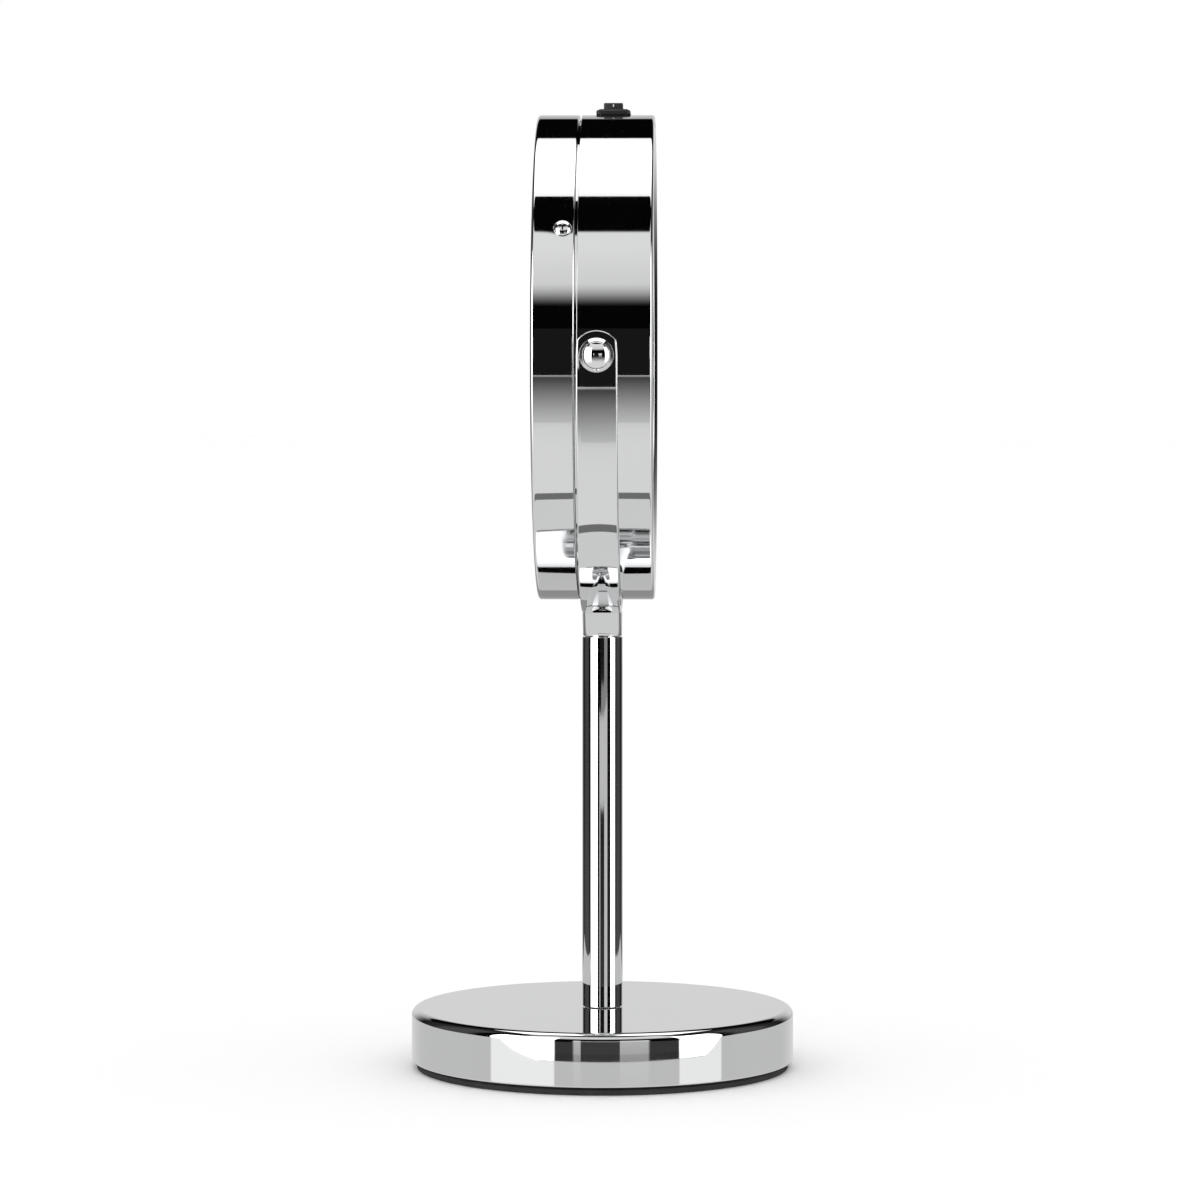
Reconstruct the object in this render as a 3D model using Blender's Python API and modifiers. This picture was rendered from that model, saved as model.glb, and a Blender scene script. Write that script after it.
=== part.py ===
"""A two-sided, battery-lit shaving mirror on a telescopic stem, built piece by piece.

The origin is the centre of the base's underside and +Z is up. The head pivots about an axis
along X and its lit, magnifying side faces -Y. Every piece is one named object, parented to the
empty that stands on its joint's axis. Run with: blender --background --python part.py
"""

import math

import bmesh
import bpy
from mathutils import Matrix, Vector

MM = 0.001
GAP = 0.3 * MM  # left between pieces that rest on each other

# Stand
BASE_RADIUS = 71.5 * MM
BASE_TOP = 22.6 * MM
COVER_EDGE = 2.65 * MM  # the cover's rim above the table
COVER_WALL = 1.0 * MM
COVER_FILLET = 3.0 * MM
PAD_RADIUS = 69.6 * MM
PAD_TOP = 2.35 * MM
BALLAST_RADIUS = 60.0 * MM
BALLAST_BOTTOM = 8.0 * MM
BOLT_RADIUS = 3.9 * MM
BOLT_SEAT = 13.5 * MM  # roof of the recess that the bolt's head sits in

# Stem
TUBE_RADIUS = 7.55 * MM
TUBE_WALL = 1.0 * MM
TUBE_TOP = 161.5 * MM
INNER_RADIUS = 5.5 * MM
INNER_WALL = 0.8 * MM
INNER_BOTTOM = 44.5 * MM
INNER_TOP = 167.6 * MM
STEM_TRAVEL = 90.0 * MM
SLIDE_CLEARANCE = 0.15 * MM

# Yoke
PIVOT_Z = 265.5 * MM
YOKE_OUTER = 95.0 * MM  # half its width at the pivots, and its depth below them
YOKE_INNER = 93.2 * MM
ARM_STRAIGHT = 3.2 * MM  # straight stretch of each arm below its pivot
ARM_RADIUS = 106.0 * MM  # bow of the arms, from there to the corners
CORNER_START, CORNER_END = 42.8, 68.0  # how far the strip has turned there, in degrees
STRIP_HALF = 7.2 * MM
STRIP_END_RADIUS = 8.7 * MM
COLLAR_BOTTOM = TUBE_TOP + GAP
COLLAR_RADIUS = 7.3 * MM
COLLAR_SPREAD = 7.0 * MM  # how far the neck would spread along the strip at its full height
COLLAR_SHOULDER = 168.7 * MM
SCREW_HEAD_BOTTOM = 170.5 * MM

# Head; its depths are along Y, negative towards the lit side
HEAD_RADIUS = 90.0 * MM
HEAD_WALL = 2.0 * MM
HOUSING_FRONT = -19.6 * MM
SEAM_FRONT = 7.2 * MM
SEAM_BACK = 8.0 * MM
SEAM_EASE = 0.2 * MM  # chamfer on the drum's side of the seam
RING_EASE = 0.8 * MM  # chamfer on the ring's side
REAR_FACE = 23.6 * MM
WEB_FRONT = -6.0 * MM
WEB_BACK = -4.0 * MM
SPIGOT_RADIUS = 87.5 * MM
SPIGOT_INNER = 85.6 * MM
SPIGOT_END = 17.3 * MM
BEZEL_CROWN = -19.8 * MM
BEZEL_INNER = 81.2 * MM
LENS_RADIUS = 66.0 * MM  # the magnifying mirror
LENS_EDGE = -17.2 * MM
LENS_SAG = 3.4 * MM
LENS_GLASS = 2.0 * MM
TRAY_FLOOR = -8.2 * MM
LED_COUNT = 8
LED_CIRCLE = 74.3 * MM

# Pivots
STUD_RADIUS = 2.0 * MM
KNOB_FLANGE = 6.15 * MM
KNOB_RADIUS = 4.7 * MM  # where the domed cap starts
KNOB_RIM_ANGLE = 38  # how far the cap's surface has turned at its rim, in degrees

# Switch on top of the head
SWITCH_Y = -4.2 * MM
BEZEL_HALF_X = 9.3 * MM
BEZEL_HALF_Y = 6.3 * MM
BEZEL_TOP = 91.9 * MM
TERMINAL_END = 76.0 * MM
ROCKER_AXIS = 90.0 * MM  # height of the rocker's axle above the tilt axis
ROCKER_HALF_X = 6.9 * MM
ROCKER_HALF_Y = 3.7 * MM
ROCKER_THROW = math.radians(9)
PIN_RADIUS = 0.8 * MM

# Batteries
CELL_RADIUS = 7.25 * MM
CELL_LENGTH = 50.5 * MM
CELL_Y = 5.2 * MM
CELL_PITCH = 16.5 * MM
BAY_HALF_X = 29.5 * MM
HOLDER_FRONT = -3.6 * MM
HOLDER_BACK = 8.0 * MM

# Screw that locks the removable rear ring
LOCK_ANGLE = math.radians(30)  # above the pivot, on the -X side
LOCK_Y = 12.4 * MM
LOCK_SEAT = 89.3 * MM  # floor of the dished recess under its head

# Wire holes through the web, to the lamp board
WIRE_HOLES = ((12.0 * MM, 72.0 * MM), (19.0 * MM, 70.0 * MM))
WIRE_RADIUS = 0.7 * MM

FINE, MEDIUM, COARSE = 48, 32, 22  # steps round outer shells, hidden large pieces, small pieces

MATERIALS = {
    "chrome": ((0.80, 0.81, 0.83), 0.06, 1.0),
    "steel": ((0.55, 0.56, 0.58), 0.35, 1.0),
    "cast_iron": ((0.10, 0.10, 0.11), 0.75, 0.6),
    "brass": ((0.70, 0.53, 0.25), 0.30, 1.0),
    "rubber": ((0.03, 0.03, 0.03), 0.85, 0.0),
    "black_plastic": ((0.04, 0.04, 0.045), 0.45, 0.0),
    "white_plastic": ((0.86, 0.86, 0.84), 0.45, 0.0),
    "nylon": ((0.78, 0.77, 0.72), 0.50, 0.0),
    "diffuser": ((0.93, 0.94, 0.93), 0.60, 0.0),
    "mirror_glass": ((0.88, 0.90, 0.91), 0.01, 1.0),
    "circuit_board": ((0.85, 0.87, 0.84), 0.50, 0.0),
    "led": ((0.96, 0.92, 0.62), 0.30, 0.0),
    "cell_jacket": ((0.10, 0.16, 0.22), 0.40, 0.0),
    "wire_red": ((0.65, 0.05, 0.04), 0.50, 0.0),
    "wire_black": ((0.03, 0.03, 0.03), 0.50, 0.0),
    "wire_white": ((0.85, 0.85, 0.85), 0.50, 0.0),
}


def clear_scene():
    for obj in list(bpy.data.objects):
        bpy.data.objects.remove(obj, do_unlink=True)


def make_collection(name):
    collection = bpy.data.collections.new(name)
    bpy.context.scene.collection.children.link(collection)
    return collection


def make_materials():
    made = {}
    for name, (colour, roughness, metallic) in MATERIALS.items():
        material = bpy.data.materials.new(name)
        material.use_nodes = True
        shader = material.node_tree.nodes["Principled BSDF"]
        shader.inputs["Base Color"].default_value = (*colour, 1.0)
        shader.inputs["Roughness"].default_value = roughness
        shader.inputs["Metallic"].default_value = metallic
        made[name] = material
    return made


clear_scene()
PIECES = make_collection("shaving_mirror")
CUTTERS = make_collection("cutters")
PAINT = make_materials()


# ---------------------------------------------------------------- helpers


def make_axis(name, location, parent=None):
    """An empty on a joint's axis, which that joint's pieces are parented to."""
    empty = bpy.data.objects.new(name, None)
    PIECES.objects.link(empty)
    empty.parent = parent
    empty.location = location
    return empty


def add_object(name, data, material, parent, location=(0, 0, 0), rotation=(0, 0, 0)):
    obj = bpy.data.objects.new(name, data)
    obj.parent = parent
    obj.location = location
    obj.rotation_euler = rotation
    if material is None:
        CUTTERS.objects.link(obj)
        obj.hide_render = True
        obj.display_type = "WIRE"
    else:
        PIECES.objects.link(obj)
        data.materials.append(PAINT[material])
    return obj


def arc(centre, radius, start, end, count):
    """count + 1 points from the start angle to the end angle, in degrees."""
    angles = [math.radians(start + (end - start) * i / count) for i in range(count + 1)]
    return [(centre[0] + radius * math.cos(a), centre[1] + radius * math.sin(a)) for a in angles]


def turned(name, profile, material, parent, steps=COARSE, **place):
    """A (radius, height) profile turned about local Z. It closes on itself, unless it starts on the axis."""
    ring = profile[0][0] > 0
    count = len(profile)
    mesh = bpy.data.meshes.new(name)
    edges = [(i, (i + 1) % count) for i in range(count if ring else count - 1)]
    mesh.from_pydata([(r, 0, h) for r, h in profile], edges, [])
    obj = add_object(name, mesh, material, parent, **place)
    screw = obj.modifiers.new("Turn", "SCREW")
    screw.steps = screw.render_steps = steps
    screw.use_merge_vertices = True
    screw.merge_threshold = 1e-6
    screw.use_smooth_shade = False
    return obj


FACE_FRONT = {"rotation": (math.pi / 2, 0, 0)}  # turns local Z to -Y


def turned_y(name, profile, material, parent, steps=FINE):
    """A (radius, y) profile turned about the head's Y axis. Its outer side runs front to back."""
    return turned(name, [(r, -y) for r, y in profile], material, parent, steps, **FACE_FRONT)


def box(name, low, high, material, parent, **place):
    """A block between two corners, given in its parent's frame."""
    low, high = Vector(low), Vector(high)
    mesh = bpy.data.meshes.new(name)
    shape = bmesh.new()
    bmesh.ops.create_cube(shape, size=1.0)
    bmesh.ops.scale(shape, vec=high - low, verts=shape.verts)
    shape.to_mesh(mesh)
    shape.free()
    return add_object(name, mesh, material, parent, location=(low + high) / 2, **place)


def rod(name, radius, start, end, material, parent, sides=COARSE):
    """A cylinder from one point to another, given in its parent's frame."""
    start, end = Vector(start), Vector(end)
    mesh = bpy.data.meshes.new(name)
    shape = bmesh.new()
    bmesh.ops.create_cone(
        shape,
        cap_ends=True,
        segments=sides,
        radius1=radius,
        radius2=radius,
        depth=(end - start).length,
    )
    shape.to_mesh(mesh)
    shape.free()
    turn = (end - start).to_track_quat("Z", "Y").to_euler()
    return add_object(name, mesh, material, parent, location=(start + end) / 2, rotation=turn)


def plate(name, outline, thickness, material, parent, **place):
    """A closed 2D outline filled and extruded to a thickness, as a welded mesh."""
    curve = bpy.data.curves.new(name, "CURVE")
    curve.dimensions = "2D"
    curve.fill_mode = "BOTH"
    curve.extrude = thickness / 2
    spline = curve.splines.new("POLY")
    spline.points.add(len(outline) - 1)
    for point, (x, y) in zip(spline.points, outline):
        point.co = (x, y, 0, 1)
    spline.use_cyclic_u = True
    guide = bpy.data.objects.new(name + "_outline", curve)
    CUTTERS.objects.link(guide)
    bpy.context.view_layer.update()
    evaluated = guide.evaluated_get(bpy.context.evaluated_depsgraph_get())
    mesh = bpy.data.meshes.new_from_object(evaluated)
    bpy.data.objects.remove(guide)
    shape = bmesh.new()
    shape.from_mesh(mesh)
    bmesh.ops.remove_doubles(shape, verts=shape.verts, dist=1e-6)
    bmesh.ops.recalc_face_normals(shape, faces=shape.faces)
    shape.to_mesh(mesh)
    shape.free()
    mesh.name = name
    return add_object(name, mesh, material, parent, **place)


def wire(name, points, radius, material, parent, **place):
    """A round wire along a list of points, with closed ends."""
    curve = bpy.data.curves.new(name, "CURVE")
    curve.dimensions = "3D"
    curve.bevel_depth = radius
    curve.bevel_resolution = 1
    curve.use_fill_caps = True
    spline = curve.splines.new("POLY")
    spline.points.add(len(points) - 1)
    for point, co in zip(spline.points, points):
        point.co = (*co, 1)
    return add_object(name, curve, material, parent, **place)


def smooth_route(points, per_span=5):
    """Points along a Catmull-Rom curve through a short list of route points."""
    route = [Vector(p) for p in points]
    route = [2 * route[0] - route[1], *route, 2 * route[-1] - route[-2]]
    found = []
    for a, b, c, d in zip(route, route[1:], route[2:], route[3:]):
        for i in range(per_span):
            t = i / per_span
            bend = (2 * a - 5 * b + 4 * c - d) * t * t + (3 * b - a - 3 * c + d) * t**3
            found.append((2 * b + (c - a) * t + bend) / 2)
    return [*found, route[-2]]


def combine(obj, tool, operation="DIFFERENCE"):
    """Cuts, joins or trims an object with a helper object."""
    modifier = obj.modifiers.new(operation.title(), "BOOLEAN")
    modifier.operation = operation
    modifier.object = tool
    return obj


# ---------------------------------------------------------------- stand


def make_base(stand):
    """Plated cover, ballast, bottom plate, pad, and the bolt that holds them to the stem."""
    corner = (BASE_RADIUS - COVER_FILLET, BASE_TOP - COVER_FILLET)
    inside = BASE_RADIUS - COVER_WALL
    bore = BOLT_RADIUS + 0.4 * MM
    hem = 0.5 * MM
    turned(
        "base_cover",
        [
            (bore, BASE_TOP),
            *arc(corner, COVER_FILLET, 90, 0, 4),
            (BASE_RADIUS, COVER_EDGE + hem),
            (BASE_RADIUS - hem, COVER_EDGE),
            (inside, COVER_EDGE),
            *arc(corner, COVER_FILLET - COVER_WALL, 0, 90, 2),
            (bore, BASE_TOP - COVER_WALL),
        ],
        "chrome",
        stand,
        FINE,
    )
    roof = BASE_TOP - COVER_WALL - GAP
    recess = 12.5 * MM
    turned(
        "ballast_disc",
        [
            (bore, roof),
            (BALLAST_RADIUS, roof),
            (BALLAST_RADIUS, BALLAST_BOTTOM),
            (recess, BALLAST_BOTTOM),
            (recess, BOLT_SEAT),
            (bore, BOLT_SEAT),
        ],
        "cast_iron",
        stand,
    )
    plate_low = PAD_TOP + GAP
    plate_top = 5.2 * MM
    rim_outer = inside - 0.4 * MM
    rim_inner = rim_outer - 3.3 * MM
    hub = 14.0 * MM
    turned(
        "base_plate",
        [
            (rim_inner, 9.0 * MM),
            (rim_outer, 9.0 * MM),
            (rim_outer, plate_low),
            (hub, plate_low),
            (hub, BALLAST_BOTTOM - GAP),
            (hub + 2 * MM, BALLAST_BOTTOM - GAP),
            (hub + 2 * MM, plate_top),
            (rim_inner, plate_top),
        ],
        "black_plastic",
        stand,
        MEDIUM,
    )
    rod("base_pad", PAD_RADIUS, (0, 0, 0), (0, 0, PAD_TOP), "rubber", stand, FINE)
    make_stem_bolt(stand)


def make_stem_bolt(stand):
    washer_top = BOLT_SEAT - GAP
    washer_low = washer_top - 1.6 * MM
    hole = BOLT_RADIUS + 0.3 * MM
    rim = 11.0 * MM
    turned(
        "stem_washer",
        [(hole, washer_top), (rim, washer_top), (rim, washer_low), (hole, washer_low)],
        "steel",
        stand,
    )
    head_top = washer_low - GAP
    head_low = head_top - 5.3 * MM
    across_corners = 15.0 * MM
    bolt = rod(
        "stem_bolt", BOLT_RADIUS, (0, 0, head_low + MM), (0, 0, 34 * MM), "steel", stand, 16
    )
    hexagon = rod(
        "bolt_hexagon", across_corners / 2, (0, 0, head_low), (0, 0, head_top), None, stand, 6
    )
    combine(bolt, hexagon, "UNION")


def make_outer_stem(stand):
    """The fixed tube, the threaded plug at its foot and the friction bush at its mouth."""
    bore = TUBE_RADIUS - TUBE_WALL
    foot = BASE_TOP + GAP
    turned(
        "stem_tube",
        [(bore, TUBE_TOP), (TUBE_RADIUS, TUBE_TOP), (TUBE_RADIUS, foot), (bore, foot)],
        "chrome",
        stand,
        32,
    )
    plug_hole = BOLT_RADIUS + 0.2 * MM
    plug_outer = bore - 0.2 * MM
    plug_top = 38.0 * MM
    turned(
        "tube_plug",
        [
            (plug_hole, plug_top),
            (plug_outer, plug_top),
            (plug_outer, foot + GAP),
            (plug_hole, foot + GAP),
        ],
        "steel",
        stand,
    )
    bush_low = INNER_BOTTOM - GAP + STEM_TRAVEL + GAP
    bush_hole = INNER_RADIUS + SLIDE_CLEARANCE
    bush_outer = bore - SLIDE_CLEARANCE
    bush_top = TUBE_TOP - GAP
    turned(
        "tube_bush",
        [
            (bush_hole, bush_top),
            (bush_outer, bush_top),
            (bush_outer, bush_low),
            (bush_hole, bush_low),
        ],
        "nylon",
        stand,
        32,
    )


# ---------------------------------------------------------------- telescopic inner stem


def make_inner_stem(slide):
    """The sliding tube, its stop plug, and the screw and washer that the yoke swivels on."""
    bore = INNER_RADIUS - INNER_WALL
    turned(
        "inner_tube",
        [
            (bore, INNER_TOP),
            (INNER_RADIUS, INNER_TOP),
            (INNER_RADIUS, INNER_BOTTOM),
            (bore, INNER_BOTTOM),
        ],
        "chrome",
        slide,
        32,
    )
    plug_radius = bore - GAP
    stop_radius = 6.3 * MM
    stop_top = INNER_BOTTOM - GAP
    turned(
        "stop_plug",
        [
            (0, INNER_BOTTOM + 11 * MM),
            (plug_radius, INNER_BOTTOM + 11 * MM),
            (plug_radius, stop_top),
            (stop_radius, stop_top),
            (stop_radius, stop_top - 5 * MM),
            (0, stop_top - 5 * MM),
        ],
        "nylon",
        slide,
    )
    thread = STUD_RADIUS + 0.2 * MM
    thread_end = 153.0 * MM
    plug_low = 150.0 * MM
    turned(
        "swivel_plug",
        [
            (0, thread_end),
            (thread, thread_end),
            (thread, INNER_TOP),
            (plug_radius, INNER_TOP),
            (plug_radius, plug_low),
            (0, plug_low),
        ],
        "steel",
        slide,
    )
    washer_low = INNER_TOP + 0.15 * MM
    washer_top = COLLAR_SHOULDER - 0.15 * MM
    turned(
        "swivel_washer",
        [
            (thread, washer_top),
            (INNER_RADIUS, washer_top),
            (INNER_RADIUS, washer_low),
            (thread, washer_low),
        ],
        "nylon",
        slide,
    )
    head_top = SCREW_HEAD_BOTTOM + 1.6 * MM
    head_radius = 3.7 * MM
    turned(
        "swivel_screw",
        [
            (0, head_top),
            (head_radius - 0.4 * MM, head_top),
            (head_radius, head_top - 0.4 * MM),
            (head_radius, SCREW_HEAD_BOTTOM),
            (STUD_RADIUS, SCREW_HEAD_BOTTOM),
            (STUD_RADIUS, thread_end + MM),
            (0, thread_end + MM),
        ],
        "steel",
        slide,
    )


# ---------------------------------------------------------------- yoke


def corner_and_bottom():
    """The radii of the corners and of the bottom that make up the yoke's width and depth."""
    start, end = math.radians(CORNER_START), math.radians(CORNER_END)
    across = YOKE_OUTER - ARM_RADIUS * (1 - math.cos(start))
    down = YOKE_OUTER - ARM_STRAIGHT - ARM_RADIUS * math.sin(start)
    shares = Matrix(
        (
            (math.cos(start) - math.cos(end), math.cos(end)),
            (math.sin(end) - math.sin(start), 1 - math.sin(end)),
        )
    )
    return shares.inverted() @ Vector((across, down))


def yoke_path(inset, top):
    """The strip's outer line or one inset from it, from arm to arm, under a pivot at (0, 0).
    Each half is straight, then three arcs that run into each other: arm, corner and bottom."""
    corner, bottom = corner_and_bottom()
    arcs = (
        (ARM_RADIUS, 0, CORNER_START, 11),
        (corner, CORNER_START, CORNER_END, 7),
        (bottom, CORNER_END, 90, 5),
    )
    centre = Vector((YOKE_OUTER, -ARM_STRAIGHT))
    outward = Vector((1, 0))
    half = [(YOKE_OUTER - inset, top)]
    before = 0
    for radius, start, end, count in arcs:
        centre -= outward * (radius - before)
        half += arc(centre, radius - inset, -start, -end, count)[1 if before else 0 :]
        outward = Vector((math.cos(math.radians(end)), -math.sin(math.radians(end))))
        before = radius
    return [(-x, z) for x, z in half] + half[-2::-1]


def make_yoke_strip(swivel):
    """A flat strip bent to a U, its ends rounded about the pivots."""
    above = STRIP_END_RADIUS + MM
    outline = yoke_path(0, above) + yoke_path(YOKE_OUTER - YOKE_INNER, above)[::-1]
    pivot = (0, 0, PIVOT_Z - COLLAR_BOTTOM)
    upright = (math.pi / 2, 0, 0)
    strip = plate(
        "yoke_strip", outline, 2 * STRIP_HALF, "chrome", swivel, location=pivot, rotation=upright
    )
    below = -YOKE_OUTER - MM
    end_shape = [(-STRIP_END_RADIUS, below), (STRIP_END_RADIUS, below)]
    end_shape += arc((0, 0), STRIP_END_RADIUS, 0, 180, 18)
    # The outline's x becomes Y and its y becomes Z.
    across = Matrix(((0, 0, 1), (1, 0, 0), (0, 1, 0))).to_euler()
    trim = plate(
        "strip_end_trim", end_shape, 2.2 * YOKE_OUTER, None, swivel, location=pivot, rotation=across
    )
    combine(strip, trim, "INTERSECT")
    reach = YOKE_OUTER + 5 * MM
    screw_hole = rod(
        "screw_hole", 4.1 * MM, (0, 0, 5 * MM), (0, 0, 20 * MM), None, swivel, COARSE
    )
    combine(strip, screw_hole)
    pivot_hole = rod(
        "pivot_hole",
        STUD_RADIUS + 0.3 * MM,
        (-reach, 0, pivot[2]),
        (reach, 0, pivot[2]),
        None,
        swivel,
        16,
    )
    combine(strip, pivot_hole)


def collar_section(t, count=32):
    """One ring of the collar: a circle at the tube (t = 0) that spreads along the strip (t = 1).
    It leaves the tube upright and soon spreads evenly, like a cone."""
    ease = 0.12
    long_half = COLLAR_RADIUS + COLLAR_SPREAD * (1 + ease) * t * t / (t + ease)
    wide_half = COLLAR_RADIUS + 0.3 * MM * t
    power = 2 / (2 + 1.6 * t)
    ring = []
    for i in range(count):
        a = 2 * math.pi * i / count
        c, s = math.cos(a), math.sin(a)
        x = math.copysign(abs(c) ** power, c) * long_half
        y = math.copysign(abs(s) ** power, s) * wide_half
        ring.append((x, y))
    return ring


def make_collar(swivel):
    """The flared neck under the strip, lofted from round to oblong and saddled to the strip."""
    levels = 6
    height = 12.6 * MM
    shape = bmesh.new()
    rings = []
    for level in range(levels + 1):
        t = level / levels
        ring = [shape.verts.new((x, y, height * t)) for x, y in collar_section(t)]
        rings.append(ring)
    for low, high in zip(rings, rings[1:]):
        for i in range(len(low)):
            j = (i + 1) % len(low)
            shape.faces.new((low[i], low[j], high[j], high[i]))
    shape.faces.new(rings[0][::-1])
    shape.faces.new(rings[-1])
    mesh = bpy.data.meshes.new("yoke_collar")
    shape.to_mesh(mesh)
    shape.free()
    collar = add_object("yoke_collar", mesh, "chrome", swivel)
    bottom = corner_and_bottom()[1]
    axis_z = PIVOT_Z - COLLAR_BOTTOM - YOKE_OUTER + bottom
    half = 20 * MM
    saddle = rod(
        "collar_saddle",
        bottom + GAP,
        (0, -half, axis_z),
        (0, half, axis_z),
        None,
        swivel,
        2 * FINE,
    )
    combine(collar, saddle)
    shoulder = COLLAR_SHOULDER - COLLAR_BOTTOM
    bore = INNER_RADIUS + 0.35 * MM
    hole = STUD_RADIUS + 0.3 * MM
    above = 15 * MM
    counterbore = turned(
        "collar_bore",
        [(0, above), (hole, above), (hole, shoulder), (bore, shoulder), (bore, -MM), (0, -MM)],
        None,
        swivel,
    )
    combine(collar, counterbore)


# ---------------------------------------------------------------- head shells


def lock_turn():
    """Turns local Z outward along the lock screw."""
    outward = Vector((-math.cos(LOCK_ANGLE), 0, math.sin(LOCK_ANGLE)))
    return outward.to_track_quat("Z", "Y").to_euler()


def make_cutters(tilt):
    """Helpers that more than one head piece is cut with."""
    reach = HEAD_RADIUS + 5 * MM
    pivots = rod("pivot_bore", STUD_RADIUS + 0.2 * MM, (-reach, 0, 0), (reach, 0, 0), None, tilt, 16)
    slot_half_x = 8.6 * MM
    slot_front = SWITCH_Y - 5.7 * MM
    slot_back = SWITCH_Y + 5.7 * MM
    housing_slot = box(
        "switch_slot",
        (-slot_half_x, slot_front, 69 * MM),
        (slot_half_x, slot_back, reach),
        None,
        tilt,
    )
    tray_slot = box(
        "tray_slot",
        (-slot_half_x, slot_front, 80.9 * MM),
        (slot_half_x, slot_back, reach),
        None,
        tilt,
    )
    lock = turned(
        "lock_bore",
        [
            (0, reach),
            (4.9 * MM, reach),
            (4.5 * MM, HEAD_RADIUS - 0.1 * MM),
            (3.6 * MM, LOCK_SEAT),
            (1.8 * MM, LOCK_SEAT),
            (1.8 * MM, 80 * MM),
            (0, 80 * MM),
        ],
        None,
        tilt,
        location=(0, LOCK_Y, 0),
        rotation=lock_turn(),
    )
    holes = [
        rod(f"wire_hole_{i + 1}", 1.3 * MM, (x, -12 * MM, z), (x, 0, z), None, tilt, 12)
        for i, (x, z) in enumerate(WIRE_HOLES)
    ]
    return pivots, housing_slot, tray_slot, lock, holes


def make_housing(tilt, cutters):
    """The deep drum with a web across it and a spigot for the rear ring."""
    pivots, housing_slot, _, lock, holes = cutters
    fillet = 1.1 * MM
    inner = HEAD_RADIUS - HEAD_WALL
    corner = (HEAD_RADIUS - fillet, HOUSING_FRONT + fillet)
    housing = turned_y(
        "main_housing",
        [
            (0, WEB_FRONT),
            (inner, WEB_FRONT),
            (inner, HOUSING_FRONT),
            *arc(corner, fillet, -90, 0, 3),
            (HEAD_RADIUS, SEAM_FRONT - SEAM_EASE),
            (HEAD_RADIUS - SEAM_EASE, SEAM_FRONT),
            (SPIGOT_RADIUS, SEAM_FRONT),
            (SPIGOT_RADIUS, SPIGOT_END),
            (SPIGOT_INNER, SPIGOT_END),
            (SPIGOT_INNER, WEB_BACK),
            (0, WEB_BACK),
        ],
        "chrome",
        tilt,
    )
    for cutter in (pivots, housing_slot, lock, *holes):
        combine(housing, cutter)


def make_rear_ring(tilt, lock):
    """The shallow ring that carries the plain mirror and slides over the housing's spigot."""
    fillet = 1.2 * MM
    inner = HEAD_RADIUS - HEAD_WALL
    lip = 82.6 * MM
    lip_front = REAR_FACE - 1.8 * MM
    corner = (HEAD_RADIUS - fillet, REAR_FACE - fillet)
    ring = turned_y(
        "rear_ring",
        [
            (inner, SEAM_BACK),
            (HEAD_RADIUS - RING_EASE / 2, SEAM_BACK),
            (HEAD_RADIUS, SEAM_BACK + RING_EASE),
            *arc(corner, fillet, 0, 90, 3),
            (lip + MM, REAR_FACE),
            (lip, REAR_FACE - 0.8 * MM),
            (lip, lip_front),
            (inner, lip_front),
        ],
        "chrome",
        tilt,
    )
    combine(ring, lock)
    glass_back = lip_front - GAP
    glass_front = glass_back - 3 * MM
    rod(
        "plain_mirror",
        87.6 * MM,
        (0, glass_front, 0),
        (0, glass_back, 0),
        "mirror_glass",
        tilt,
        FINE,
    )
    pad_back = glass_front - GAP
    pad_front = pad_back - MM
    rod("mirror_pad", 85 * MM, (0, pad_front, 0), (0, pad_back, 0), "rubber", tilt, MEDIUM)
    cover_back = pad_front - GAP
    cover_front = cover_back - 2 * MM
    rod(
        "rear_cover",
        SPIGOT_INNER - 0.4 * MM,
        (0, cover_front, 0),
        (0, cover_back, 0),
        "white_plastic",
        tilt,
        MEDIUM,
    )


def make_lock_screw(tilt):
    """A pan-head screw with a cross recess, radial through the rear ring into the spigot."""
    seat = LOCK_SEAT + 0.1 * MM
    head = 3.1 * MM
    rise = 2.2 * MM
    shank = 1.5 * MM
    shank_end = seat - 8 * MM
    angles = [math.radians(d) for d in (0, 30, 55, 75, 90)]
    dome = [(head * math.sin(a), seat + rise * (0.35 + 0.65 * math.cos(a))) for a in angles]
    screw = turned(
        "lock_screw",
        [*dome, (head, seat), (shank, seat), (shank, shank_end), (0, shank_end)],
        "chrome",
        tilt,
        location=(0, LOCK_Y, 0),
        rotation=lock_turn(),
    )
    arm, half_width = 1.7 * MM, 0.35 * MM
    for name, size_x, size_y in (("recess_a", arm, half_width), ("recess_b", half_width, arm)):
        block = box(
            name, (-size_x, -size_y, -0.6 * MM), (size_x, size_y, 2 * MM), None, screw
        )
        block.location.z = seat + rise
        combine(screw, block)


# ---------------------------------------------------------------- lit side


def lens_front(radius):
    """Y of the magnifying mirror's front face, a shallow hollow."""
    curve = (LENS_RADIUS**2 + LENS_SAG**2) / (2 * LENS_SAG)
    return LENS_EDGE + LENS_SAG - (curve - math.sqrt(curve**2 - radius**2))


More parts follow.
